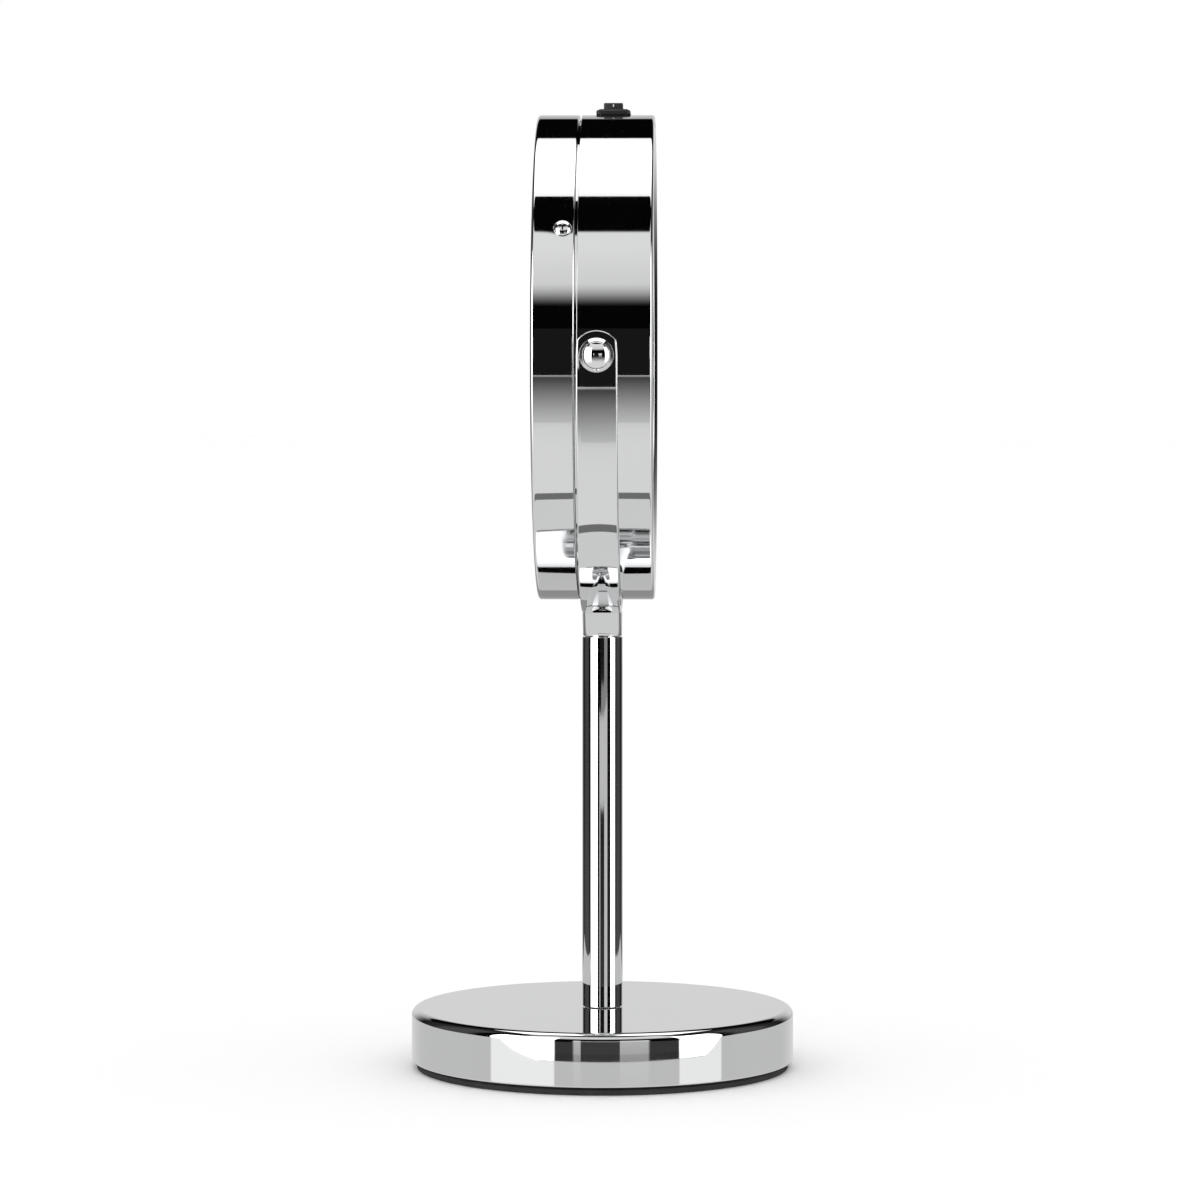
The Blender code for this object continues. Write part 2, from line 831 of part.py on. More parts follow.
def make_lit_side(tilt, tray_slot, holes):
    """Bezel, frosted ring, hollow magnifying mirror, and the tray with the lamp board."""
    bezel_outer = HEAD_RADIUS - HEAD_WALL - GAP
    skirt = bezel_outer - 1.3 * MM
    seat = -17.2 * MM
    turned_y(
        "front_bezel",
        [
            (BEZEL_INNER, seat - 1.2 * MM),
            (BEZEL_INNER + 1.2 * MM, BEZEL_CROWN + 0.4 * MM),
            (84.4 * MM, BEZEL_CROWN),
            (bezel_outer - 0.8 * MM, BEZEL_CROWN + 0.6 * MM),
            (bezel_outer, BEZEL_CROWN + 1.1 * MM),
            (bezel_outer, -14.5 * MM),
            (skirt, -14.5 * MM),
            (skirt, seat),
            (BEZEL_INNER, seat),
        ],
        "chrome",
        tilt,
    )
    outer, front, back = skirt - 0.4 * MM, seat + GAP, -14.9 * MM
    hole = LENS_RADIUS + 0.4 * MM
    turned_y(
        "diffuser_ring",
        [(hole, front), (outer, front), (outer, back), (hole, back)],
        "diffuser",
        tilt,
        MEDIUM,
    )
    radii = [LENS_RADIUS * i / 4 for i in range(5)]
    face = [(r, lens_front(r)) for r in radii]
    turned_y(
        "magnifying_mirror",
        [*face, *((r, y + LENS_GLASS) for r, y in reversed(face))],
        "mirror_glass",
        tilt,
        MEDIUM,
    )
    make_light_tray(tilt, tray_slot, holes)


def make_light_tray(tilt, tray_slot, holes):
    wall = 1.2 * MM
    outer = SPIGOT_INNER + 0.2 * MM
    rest_outer = 64.0 * MM
    rim = -14.5 * MM
    underside = WEB_FRONT - 0.5 * MM
    tray = turned_y(
        "light_tray",
        [
            (0, TRAY_FLOOR),
            (rest_outer - 2 * MM, TRAY_FLOOR),
            (rest_outer - 2 * MM, rim),
            (rest_outer, rim),
            (rest_outer, TRAY_FLOOR),
            (outer - wall, TRAY_FLOOR),
            (outer - wall, rim),
            (outer, rim),
            (outer, underside),
            (0, underside),
        ],
        "white_plastic",
        tilt,
        MEDIUM,
    )
    for cutter in (tray_slot, *holes):
        combine(tray, cutter)
    back = TRAY_FLOOR - GAP
    front = back - 1.4 * MM
    turned_y(
        "lamp_board",
        [(68 * MM, front), (80.4 * MM, front), (80.4 * MM, back), (68 * MM, back)],
        "circuit_board",
        tilt,
        MEDIUM,
    )
    lamp_back = front - 0.1 * MM
    for i in range(LED_COUNT):
        angle = 2 * math.pi * (i + 0.5) / LED_COUNT
        at = Vector((LED_CIRCLE * math.sin(angle), 0, LED_CIRCLE * math.cos(angle)))
        lamp = box(
            f"led_{i + 1:02d}",
            (-1.75 * MM, lamp_back - 1.2 * MM, -1.4 * MM),
            (1.75 * MM, lamp_back, 1.4 * MM),
            "led",
            tilt,
        )
        lamp.location += at
        lamp.rotation_euler.y = angle


# ---------------------------------------------------------------- power


def make_cells(tilt):
    """Three cells in an open holder behind the web, each with a coil spring and a flat contact."""
    wall = 1.2 * MM
    bay_half = CELL_RADIUS + 0.4 * MM
    top = CELL_PITCH + bay_half + wall
    holder = box(
        "battery_holder",
        (-BAY_HALF_X - wall, HOLDER_FRONT, -top),
        (BAY_HALF_X + wall, HOLDER_BACK, top),
        "white_plastic",
        tilt,
    )
    for i in range(3):
        z = CELL_PITCH * (1 - i)
        facing = 1 if i % 2 == 0 else -1  # the side that the cell's button end points to
        bay = box(
            f"bay_{i + 1}",
            (-BAY_HALF_X, HOLDER_FRONT + wall, z - bay_half),
            (BAY_HALF_X, HOLDER_BACK + 5 * MM, z + bay_half),
            None,
            tilt,
        )
        combine(holder, bay)
        make_cell(i + 1, z, facing, tilt)


def make_cell(number, z, facing, tilt):
    button = BAY_HALF_X - 1.2 * MM  # distance of the button's tip from the middle
    tip = 1.0 * MM
    along = (0, facing * math.pi / 2, 0)
    turned(
        f"battery_{number}",
        [
            (0, button),
            (2.7 * MM, button),
            (2.7 * MM, button - tip),
            (CELL_RADIUS - 0.5 * MM, button - tip),
            (CELL_RADIUS, button - tip - 0.5 * MM),
            (CELL_RADIUS, button - CELL_LENGTH),
            (0, button - CELL_LENGTH),
        ],
        "cell_jacket",
        tilt,
        20,
        location=(0, CELL_Y, z),
        rotation=along,
    )
    box(
        f"battery_contact_{number}",
        (facing * (BAY_HALF_X - 0.9 * MM) - 0.3 * MM, CELL_Y - 4.5 * MM, z - 4.5 * MM),
        (facing * (BAY_HALF_X - 0.9 * MM) + 0.3 * MM, CELL_Y + 2.6 * MM, z + 4.5 * MM),
        "brass",
        tilt,
    )
    # A conical coil from the holder's wall up to the cell's flat end.
    wire_radius = 0.4 * MM
    far = -BAY_HALF_X + 0.8 * MM
    near = button - CELL_LENGTH - 0.8 * MM
    turns, per_turn = 3, 8
    coil = []
    for k in range(turns * per_turn + 1):
        share = k / (turns * per_turn)
        angle = 2 * math.pi * k / per_turn
        radius = (4.2 - 1.6 * share) * MM
        height = far + (near - far) * share
        coil.append((radius * math.cos(angle), radius * math.sin(angle), height))
    wire(
        f"battery_spring_{number}",
        coil,
        wire_radius,
        "steel",
        tilt,
        location=(0, CELL_Y, z),
        rotation=along,
    )


def make_wires(tilt):
    """Leads between the holder, the switch and the lamp board, in the space behind the web."""
    holder_top = CELL_PITCH + CELL_RADIUS + 2.3 * MM
    board_y = TRAY_FLOOR + 0.1 * MM
    (white_x, white_z), (black_x, black_z) = WIRE_HOLES
    routes = {
        "wire_red": (
            (-22 * MM, 3 * MM, holder_top),
            [(-23, 3, 34), (-17, 2, 48), (-6, 0, 62), (-4, -2, 70)],
            (-4 * MM, SWITCH_Y, TERMINAL_END - GAP),
        ),
        "wire_black": (
            (22 * MM, 3 * MM, holder_top),
            [(24, 3, 36), (24, 2, 52), (20.5, 0.5, 62), (19, -1.2, 68.2), (19, -4.5, 70)],
            (black_x, board_y, black_z),
        ),
        "wire_white": (
            (4 * MM, SWITCH_Y, TERMINAL_END - GAP),
            [(4, -2.2, 70.2), (6.5, -0.6, 67), (10.5, -0.8, 69), (12, -3.8, 71.8)],
            (white_x, board_y, white_z),
        ),
    }
    for name, (start, between, end) in routes.items():
        middle = [Vector(p) * MM for p in between]
        wire(name, smooth_route([start, *middle, end], 3), WIRE_RADIUS, name, tilt)


def make_switch(tilt, rocker_axis):
    """A snap-in rocker switch: bevelled bezel and body in one, two terminals and the rocker."""
    body_half_x, body_half_y = 8.3 * MM, 5.3 * MM
    body_low = 81.3 * MM
    body = box(
        "switch_body",
        (-body_half_x, SWITCH_Y - body_half_y, body_low),
        (body_half_x, SWITCH_Y + body_half_y, BEZEL_TOP - 0.5 * MM),
        "black_plastic",
        tilt,
    )
    bezel = box(
        "switch_bezel",
        (-BEZEL_HALF_X, SWITCH_Y - BEZEL_HALF_Y, BEZEL_TOP - 3 * MM),
        (BEZEL_HALF_X, SWITCH_Y + BEZEL_HALF_Y, BEZEL_TOP),
        None,
        tilt,
    )
    bevel_top(bezel, 1.0 * MM)
    drum = rod("bezel_seat", HEAD_RADIUS + GAP, (0, -30 * MM, 0), (0, 30 * MM, 0), None, tilt, 96)
    combine(bezel, drum)
    combine(body, bezel, "UNION")
    well = box(
        "switch_well",
        (-7.7 * MM, SWITCH_Y - ROCKER_HALF_Y - GAP, 84.5 * MM),
        (7.7 * MM, SWITCH_Y + ROCKER_HALF_Y + GAP, 95 * MM),
        None,
        tilt,
    )
    combine(body, well)
    pin_reach = body_half_y - 0.3 * MM
    pin_hole = rod(
        "pin_hole",
        PIN_RADIUS + 0.2 * MM,
        (0, SWITCH_Y - pin_reach, ROCKER_AXIS),
        (0, SWITCH_Y + pin_reach, ROCKER_AXIS),
        None,
        tilt,
        16,
    )
    combine(body, pin_hole)
    for side in (-1, 1):
        make_terminal(tilt, body, side)
    make_rocker(rocker_axis)


def make_terminal(tilt, body, side):
    """One blade through a slot in the switch's floor."""
    label = "left" if side < 0 else "right"
    low = Vector((side * 4 * MM - 1.2 * MM, SWITCH_Y - 0.4 * MM, TERMINAL_END))
    high = Vector((side * 4 * MM + 1.2 * MM, SWITCH_Y + 0.4 * MM, 85.4 * MM))
    room = Vector((GAP, GAP, GAP)) / 2
    box(f"switch_terminal_{label}", low, high, "brass", tilt)
    slot = box(f"terminal_slot_{label}", low - room, high + room, None, tilt)
    combine(body, slot)


def make_rocker(rocker_axis):
    # The rocker's side outline when level; its top is a shallow V.
    outline = [
        (-ROCKER_HALF_X, 3.4 * MM),
        (-ROCKER_HALF_X, -0.5 * MM),
        (-4.0 * MM, -3.4 * MM),
        (4.0 * MM, -3.4 * MM),
        (ROCKER_HALF_X, -0.5 * MM),
        (ROCKER_HALF_X, 3.4 * MM),
        (0, 2.3 * MM),
    ]
    rocker = plate(
        "switch_rocker",
        outline,
        2 * ROCKER_HALF_Y,
        "black_plastic",
        rocker_axis,
        rotation=(math.pi / 2, ROCKER_THROW, 0),
    )
    reach = ROCKER_HALF_Y + 0.9 * MM
    pin = rod("rocker_pin", PIN_RADIUS, (0, -reach, 0), (0, reach, 0), None, rocker_axis, 12)
    combine(rocker, pin, "UNION")


def bevel_top(obj, width):
    """Slopes the upper edges of a block's mesh."""
    shape = bmesh.new()
    shape.from_mesh(obj.data)
    top = max(v.co.z for v in shape.verts)
    edges = [e for e in shape.edges if all(abs(v.co.z - top) < 1e-7 for v in e.verts)]
    bmesh.ops.bevel(shape, geom=edges, offset=width, segments=1, affect="EDGES")
    shape.to_mesh(obj.data)
    shape.free()


# ---------------------------------------------------------------- pivots


def make_pivot(tilt, side):
    """A dome-headed pivot screw through the yoke's arm, its friction washer and its nut."""
    label = "left" if side < 0 else "right"
    outward = (0, side * math.pi / 2, 0)
    flange_seat = YOKE_OUTER + 0.2 * MM
    edge = flange_seat + 0.5 * MM
    bevel_top = edge + 1.5 * MM
    cap_radius = KNOB_RADIUS / math.sin(math.radians(KNOB_RIM_ANGLE))
    cap_centre = bevel_top - cap_radius * math.cos(math.radians(KNOB_RIM_ANGLE))
    cap = arc((0, cap_centre), cap_radius, 90, 90 - KNOB_RIM_ANGLE, 5)
    cap[0] = (0, cap[0][1])
    stud_end = 79.0 * MM
    turned(
        f"pivot_knob_{label}",
        [
            *cap,
            (KNOB_RADIUS, bevel_top - 0.3 * MM),
            (KNOB_RADIUS + 0.2 * MM, bevel_top),
            (KNOB_FLANGE, edge),
            (KNOB_FLANGE, flange_seat),
            (STUD_RADIUS, flange_seat),
            (STUD_RADIUS, stud_end),
            (0, stud_end),
        ],
        "chrome",
        tilt,
        COARSE,
        rotation=outward,
    )
    hole = STUD_RADIUS + 0.3 * MM
    low, high = HEAD_RADIUS + GAP, YOKE_INNER - 0.45 * MM
    rim = 5.5 * MM
    turned(
        f"pivot_washer_{label}",
        [(hole, high), (rim, high), (rim, low), (hole, low)],
        "nylon",
        tilt,
        rotation=outward,
    )
    nut_outer = SPIGOT_INNER - 0.5 * MM
    nut = box(
        f"pivot_nut_{label}",
        (side * (nut_outer - 1.3 * MM) - 1.2 * MM, -3.5 * MM, -3.5 * MM),
        (side * (nut_outer - 1.3 * MM) + 1.2 * MM, 3.5 * MM, 3.5 * MM),
        "brass",
        tilt,
    )
    thread = rod(
        f"nut_thread_{label}",
        STUD_RADIUS + 0.1 * MM,
        (side * 70 * MM, 0, 0),
        (side * 95 * MM, 0, 0),
        None,
        tilt,
        16,
    )
    combine(nut, thread)


# ---------------------------------------------------------------- assembly


def shade_pieces():
    """Applies each piece's modifiers, then shades its round faces smooth between sharp edges."""
    bpy.context.view_layer.update()
    graph = bpy.context.evaluated_depsgraph_get()
    solid = [obj for obj in PIECES.objects if obj.type == "MESH"]
    meshes = [bpy.data.meshes.new_from_object(obj.evaluated_get(graph)) for obj in solid]
    for obj, mesh in zip(solid, meshes):
        obj.modifiers.clear()
        obj.data = mesh
        mesh.shade_smooth()
        mesh.set_sharp_from_angle(angle=math.radians(35))


def main():
    stand = make_axis("stand", (0, 0, 0))
    slide = make_axis("stem_slide_axis", (0, 0, 0), stand)
    swivel = make_axis("yoke_swivel_axis", (0, 0, COLLAR_BOTTOM), slide)
    tilt = make_axis("head_tilt_axis", (0, 0, PIVOT_Z - COLLAR_BOTTOM), swivel)
    rocker_axis = make_axis("rocker_axis", (0, SWITCH_Y, ROCKER_AXIS), tilt)
    make_base(stand)
    make_outer_stem(stand)
    make_inner_stem(slide)
    make_yoke_strip(swivel)
    make_collar(swivel)
    cutters = make_cutters(tilt)
    make_housing(tilt, cutters)
    make_rear_ring(tilt, cutters[3])
    make_lock_screw(tilt)
    make_lit_side(tilt, cutters[2], cutters[4])
    make_cells(tilt)
    make_wires(tilt)
    make_switch(tilt, rocker_axis)
    for side in (-1, 1):
        make_pivot(tilt, side)
    shade_pieces()


main()
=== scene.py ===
"""The looks of the shaving mirror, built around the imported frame: smooth plated shells, glass,
rubber and moulded plastic, then the studio and the camera. Lengths are in metres."""

import math

import bmesh
import bpy
from mathutils import Matrix, Vector


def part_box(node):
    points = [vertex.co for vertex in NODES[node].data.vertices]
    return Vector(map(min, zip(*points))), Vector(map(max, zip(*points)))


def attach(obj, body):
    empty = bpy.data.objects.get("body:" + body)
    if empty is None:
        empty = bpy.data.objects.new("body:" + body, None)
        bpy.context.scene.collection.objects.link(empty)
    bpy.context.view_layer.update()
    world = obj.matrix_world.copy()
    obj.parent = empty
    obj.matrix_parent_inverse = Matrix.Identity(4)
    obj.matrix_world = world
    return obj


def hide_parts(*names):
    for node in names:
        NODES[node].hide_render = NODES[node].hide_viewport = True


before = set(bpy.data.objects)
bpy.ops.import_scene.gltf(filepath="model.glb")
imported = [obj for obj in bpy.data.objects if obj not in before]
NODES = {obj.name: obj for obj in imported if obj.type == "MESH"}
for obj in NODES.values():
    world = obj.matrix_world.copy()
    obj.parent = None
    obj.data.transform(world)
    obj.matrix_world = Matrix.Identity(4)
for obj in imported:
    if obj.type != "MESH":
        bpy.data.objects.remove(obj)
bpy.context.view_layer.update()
MM = 0.001

FINE, MEDIUM, COARSE = 288, 128, 64  # steps round the shells, the stem, the small turned pieces
SMOOTH_ANGLE = math.radians(32)


# ---------------------------------------------------------------- shape helpers


def rounded(corners, steps=8):
    """A closed outline through corners (x, y, radius), each rounded to its radius."""
    points = []
    for i, (x, y, radius) in enumerate(corners):
        here = Vector((x, y))
        if radius == 0:
            points.append(here)
            continue
        before = Vector(corners[i - 1][:2]) - here
        after = Vector(corners[(i + 1) % len(corners)][:2]) - here
        half = before.angle(after) / 2
        bisector = before.normalized() + after.normalized()
        centre = here + bisector.normalized() * radius / math.sin(half)
        reach = radius / math.tan(half)
        start = here + before.normalized() * reach - centre
        end = here + after.normalized() * reach - centre
        sweep = start.angle_signed(end)
        for k in range(steps + 1):
            points.append(centre + Matrix.Rotation(-sweep * k / steps, 2) @ start)
    return points


def with_support(points, closed, inset=0.12 * MM):
    """Adds a point near each end of every long stretch, so that shading stays flat between."""
    count = len(points)
    found = []
    for i, here in enumerate(points):
        found.append(here)
        if i == count - 1 and not closed:
            break
        span = points[(i + 1) % count] - here
        if span.length > 4 * inset:
            step = span.normalized() * inset
            found += [here + step, here + span - step]
    return found


def arc(centre, radius, start, end, count):
    """count + 1 points from the start angle to the end angle, in degrees."""
    angles = [math.radians(start + (end - start) * i / count) for i in range(count + 1)]
    return [Vector((centre[0] + radius * math.cos(a), centre[1] + radius * math.sin(a))) for a in angles]


def even_angles(count):
    return [2 * math.pi * i / count for i in range(count)]


def to_mesh(name, shape):
    """A shaded mesh object in the row frame, from a bmesh."""
    bmesh.ops.remove_doubles(shape, verts=shape.verts, dist=1e-7)
    bmesh.ops.recalc_face_normals(shape, faces=shape.faces)
    mesh = bpy.data.meshes.new(name)
    shape.to_mesh(mesh)
    shape.free()
    mesh.shade_smooth()
    mesh.set_sharp_from_angle(angle=SMOOTH_ANGLE)
    obj = bpy.data.objects.new(name, mesh)
    bpy.context.scene.collection.objects.link(obj)
    return obj


def loft_rings(shape, rings, wrap=False):
    """Faces between rings of vertices. A ring of one vertex is a pole."""
    pairs = list(zip(rings, rings[1:])) + ([(rings[-1], rings[0])] if wrap else [])
    for low, high in pairs:
        count = max(len(low), len(high))
        for i in range(count):
            j = (i + 1) % count
            a, b = low[i % len(low)], low[j % len(low)]
            c, d = high[j % len(high)], high[i % len(high)]
            corners = [v for k, v in enumerate((a, b, c, d)) if v not in (a, b, c, d)[:k]]
            if len(corners) > 2:
                shape.faces.new(corners)


def turned(name, profile, place=Matrix(), angles=None, steps=FINE, shift=None):
    """A (radius, height) profile turned about its local Z, then placed.
    It closes on itself unless it starts and ends on the axis. shift may move single points."""
    closed = profile[0][0] > 0
    angles = angles or even_angles(steps)
    shape = bmesh.new()
    rings = []
    for radius, height in with_support([Vector(p) for p in profile], closed):
        spots = [
            place @ Vector((radius * math.cos(a), radius * math.sin(a), height))
            for a in (angles if radius > 0 else angles[:1])
        ]
        rings.append([shape.verts.new(shift(p) if shift else p) for p in spots])
    loft_rings(shape, rings, wrap=closed)
    return to_mesh(name, shape)


def superellipse(half_x, half_y, power, count):
    """Points round an outline that goes from an ellipse (power 1) to a rectangle (power 0)."""
    points = []
    for a in even_angles(count):
        c, s = math.cos(a), math.sin(a)
        x = math.copysign(abs(c) ** power, c) * half_x
        points.append((x, math.copysign(abs(s) ** power, s) * half_y))
    return points


def round_rectangle(half_x, half_y, radius, steps=8):
    corners = ((half_x, half_y), (-half_x, half_y), (-half_x, -half_y), (half_x, -half_y))
    return rounded([(x, y, radius) for x, y in corners], steps)


def apply_modifiers(obj):
    """Bakes an object's modifiers into its mesh."""
    bpy.context.view_layer.update()
    evaluated = obj.evaluated_get(bpy.context.evaluated_depsgraph_get())
    mesh = bpy.data.meshes.new_from_object(evaluated)
    obj.modifiers.clear()
    obj.data = mesh
    mesh.shade_smooth()
    mesh.set_sharp_from_angle(angle=SMOOTH_ANGLE)
    return obj


def cut(obj, tool):
    """Removes the tool's volume from an object, then the tool."""
    modifier = obj.modifiers.new("Cut", "BOOLEAN")
    modifier.operation = "DIFFERENCE"
    modifier.object = tool
    apply_modifiers(obj)
    bpy.data.objects.remove(tool)
    return obj


def bevelled(obj, width, segments=3):
    modifier = obj.modifiers.new("Edges", "BEVEL")
    modifier.width = width
    modifier.segments = segments
    modifier.limit_method = "ANGLE"
    modifier.angle_limit = math.radians(30)
    return apply_modifiers(obj)


# ---------------------------------------------------------------- material helpers


class Shader:
    """A Principled material and the few nodes that its surface is built from."""

    def __init__(self, name, colour, roughness, metallic=0.0, **sockets):
        self.material = bpy.data.materials.new(name)
        self.material.use_nodes = True
        self.tree = self.material.node_tree
        self.surface = self.tree.nodes["Principled BSDF"]
        self.surface.inputs["Base Color"].default_value = (*colour, 1)
        self.surface.inputs["Roughness"].default_value = roughness
        self.surface.inputs["Metallic"].default_value = metallic
        for socket, value in sockets.items():
            self.surface.inputs[socket.replace("_", " ")].default_value = value
        self.place = self.node("ShaderNodeTexCoord").outputs["Object"]

    def node(self, kind, **settings):
        made = self.tree.nodes.new(kind)
        for key, value in settings.items():
            setattr(made, key, value)
        return made

    def link(self, source, target):
        self.tree.links.new(source, target)

    def noise(self, grain, detail=3.0, rough=0.5, squeeze=None):
        """Noise whose features are about grain metres across, optionally squeezed along an axis."""
        place = self.place
        if squeeze:
            mapping = self.node("ShaderNodeMapping")
            mapping.inputs["Scale"].default_value = squeeze
            self.link(place, mapping.inputs["Vector"])
            place = mapping.outputs["Vector"]
        made = self.node("ShaderNodeTexNoise")
        made.inputs["Scale"].default_value = 1 / grain
        made.inputs["Detail"].default_value = detail
        made.inputs["Roughness"].default_value = rough
        self.link(place, made.inputs["Vector"])
        return made.outputs["Fac"]

    def spread(self, value, low, high, start=0.3, end=0.7):
        """Maps a value from start..end to low..high."""
        made = self.node("ShaderNodeMapRange")
        for key, number in (("From Min", start), ("From Max", end), ("To Min", low), ("To Max", high)):
            made.inputs[key].default_value = number
        self.link(value, made.inputs["Value"])
        return made.outputs["Result"]

    def math(self, operation, first, second):
        made = self.node("ShaderNodeMath", operation=operation)
        for socket, value in zip(made.inputs, (first, second)):
            if isinstance(value, (int, float)):
                socket.default_value = value
            else:
                self.link(value, socket)
        return made.outputs[0]

    def mix(self, share, first, second):
        """Mixes two colours by a share."""
        made = self.node("ShaderNodeMix", data_type="RGBA")
        self.link(share, made.inputs[0])
        for socket, value in ((made.inputs[6], first), (made.inputs[7], second)):
            if isinstance(value, tuple):
                socket.default_value = (*value, 1)
            else:
                self.link(value, socket)
        return made.outputs[2]

    def specks(self, cell, size, rarity):
        """A mask of small round specks, one in some cells."""
        made = self.node("ShaderNodeTexVoronoi")
        made.inputs["Scale"].default_value = 1 / cell
        self.link(self.place, made.inputs["Vector"])
        split = self.node("ShaderNodeSeparateColor")
        self.link(made.outputs["Color"], split.inputs[0])
        near = self.spread(made.outputs["Distance"], 1, 0, size * 0.7 / cell, size / cell)
        return self.math("MULTIPLY", near, self.math("GREATER_THAN", split.outputs[0], rarity))

    def bump(self, height, depth, strength=1.0):
        made = self.node("ShaderNodeBump")
        made.inputs["Distance"].default_value = depth
        made.inputs["Strength"].default_value = strength
        self.link(height, made.inputs["Height"])
        self.link(made.outputs["Normal"], self.surface.inputs["Normal"])

    def set(self, socket, source):
        self.link(source, self.surface.inputs[socket])


# ---------------------------------------------------------------- materials


def plated(name="chrome_plate"):
    """Bright decorative chrome: a trace of haze and polish marks, and a few specks of dust."""
    made = Shader(name, (0.79, 0.795, 0.80), 0.03, 1.0)
    haze = made.spread(made.noise(22 * MM, 4), 0.012, 0.04)
    polish = made.spread(made.noise(1.2 * MM, 2, squeeze=(1, 1, 0.12)), 0.0, 0.012)
    dust = made.specks(1.7 * MM, 0.075 * MM, 0.9)
    clean = made.math("SUBTRACT", 1.0, dust)
    gloss = made.math("ADD", haze, polish)
    tint = made.mix(made.spread(made.noise(35 * MM), 0, 1), (0.785, 0.79, 0.798), (0.805, 0.808, 0.81))
    made.set("Base Color", made.mix(dust, tint, (0.42, 0.41, 0.40)))
    made.set("Metallic", clean)
    made.set("Roughness", made.math("ADD", gloss, made.math("MULTIPLY", dust, 0.5)))
    return made.material


def silvered(name="silvered_glass"):
    """Silvered float glass with the faintest smears."""
    made = Shader(name, (0.90, 0.915, 0.91), 0.01, 1.0, Coat_Weight=1.0, Coat_Roughness=0.0)
    smear = made.noise(18 * MM, 5, 0.6, squeeze=(1, 1, 0.5))
    made.set("Roughness", made.spread(smear, 0.004, 0.03, 0.45, 0.8))
    made.set("Base Color", made.mix(made.spread(smear, 0, 1), (0.89, 0.91, 0.905), (0.91, 0.925, 0.92)))
    return made.material


def moulded(name, colour, roughness, grain, depth, metallic=0.0, shade=0.9, **sockets):
    """A surface with a fine grain, a little unevenness of colour, and gloss that varies with it."""
    made = Shader(name, colour, roughness, metallic, **sockets)
    cloud = made.noise(9 * MM, 4)
    darker = tuple(c * shade for c in colour)
    made.set("Base Color", made.mix(made.spread(cloud, 0, 1), darker, colour))
    texture = made.noise(grain, 2, 0.6)
    rough = made.math("ADD", made.spread(cloud, -0.05, 0.05), made.spread(texture, -0.04, 0.04))
    made.set("Roughness", made.math("ADD", rough, roughness))
    made.bump(texture, depth)
    return made.material


def frosted(name="frosted_acrylic"):
    """The lamp ring: etched acrylic that scatters light a little under its surface."""
    made = Shader(name, (0.92, 0.93, 0.925), 0.42, Subsurface_Weight=0.25, Subsurface_Scale=2 * MM)
    etch = made.noise(0.25 * MM, 3, 0.7)
    cloud = made.noise(14 * MM, 3)
    made.set("Base Color", made.mix(made.spread(cloud, 0, 1), (0.90, 0.91, 0.905), (0.94, 0.95, 0.945)))
    made.set("Roughness", made.spread(etch, 0.36, 0.5))
    made.bump(etch, 0.02 * MM, 0.6)
    return made.material


MATERIALS = {
    "chrome": plated(),
    "mirror_glass": silvered(),
    "diffuser": frosted(),
    "steel": moulded("zinc_plated_steel", (0.55, 0.56, 0.58), 0.34, 0.6 * MM, 0.01 * MM, 1.0),
    "cast_iron": moulded("cast_iron", (0.11, 0.11, 0.115), 0.7, 0.9 * MM, 0.12 * MM, 0.6, 0.6),
    "brass": moulded("stamped_brass", (0.70, 0.52, 0.24), 0.3, 0.5 * MM, 0.008 * MM, 1.0),
    "rubber": moulded("foam_rubber", (0.045, 0.045, 0.047), 0.82, 0.35 * MM, 0.06 * MM, 0.0, 0.6),
    "black_plastic": moulded("satin_black_plastic", (0.016, 0.016, 0.017), 0.36, 0.16 * MM, 0.012 * MM),
    "white_plastic": moulded("satin_white_plastic", (0.86, 0.86, 0.84), 0.4, 0.2 * MM, 0.012 * MM, 0.0, 0.96),
    "nylon": moulded("natural_nylon", (0.78, 0.77, 0.71), 0.48, 0.3 * MM, 0.01 * MM, 0.0, 0.93),
    "circuit_board": moulded("white_solder_resist", (0.85, 0.87, 0.84), 0.35, 0.5 * MM, 0.01 * MM, 0.0, 0.95),
    "led": moulded("lamp_phosphor", (0.93, 0.85, 0.35), 0.25, 0.2 * MM, 0.005 * MM, 0.0, 0.85),
    "cell_jacket": moulded("cell_sleeve", (0.08, 0.14, 0.20), 0.35, 0.4 * MM, 0.006 * MM, 0.3),
    "wire_red": moulded("red_insulation", (0.62, 0.05, 0.04), 0.45, 0.3 * MM, 0.006 * MM),
    "wire_black": moulded("black_insulation", (0.03, 0.03, 0.03), 0.45, 0.3 * MM, 0.006 * MM),
    "wire_white": moulded("white_insulation", (0.84, 0.84, 0.83), 0.45, 0.3 * MM, 0.006 * MM),
}
MARK_WHITE = moulded("pale_dash", (0.75, 0.75, 0.74), 0.5, 0.15 * MM, 0.01 * MM)


def paint_frame():
    """Gives every CAD node that stays the full material of its slot."""
    for obj in NODES.values():
        for slot in obj.material_slots:
            slot.material = MATERIALS[slot.material.name.split(".")[0]]


def stand_for(obj, slot, body, *nodes):
    """Finishes a piece: its material, the body it rides on and the CAD nodes it stands for."""
    obj.data.materials.append(MATERIALS[slot])
    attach(obj, body)
    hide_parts(*nodes)
    return obj


# ---------------------------------------------------------------- base and stem

BOLT_BORE = 4.3 * MM
PLATE_WALL = 1.0 * MM
BASE_FILLET = 3.0 * MM
BASE_HEM = 0.95 * MM  # rounded lower edge of the cover
TUBE_WALL = 1.0 * MM
INNER_WALL = 0.8 * MM


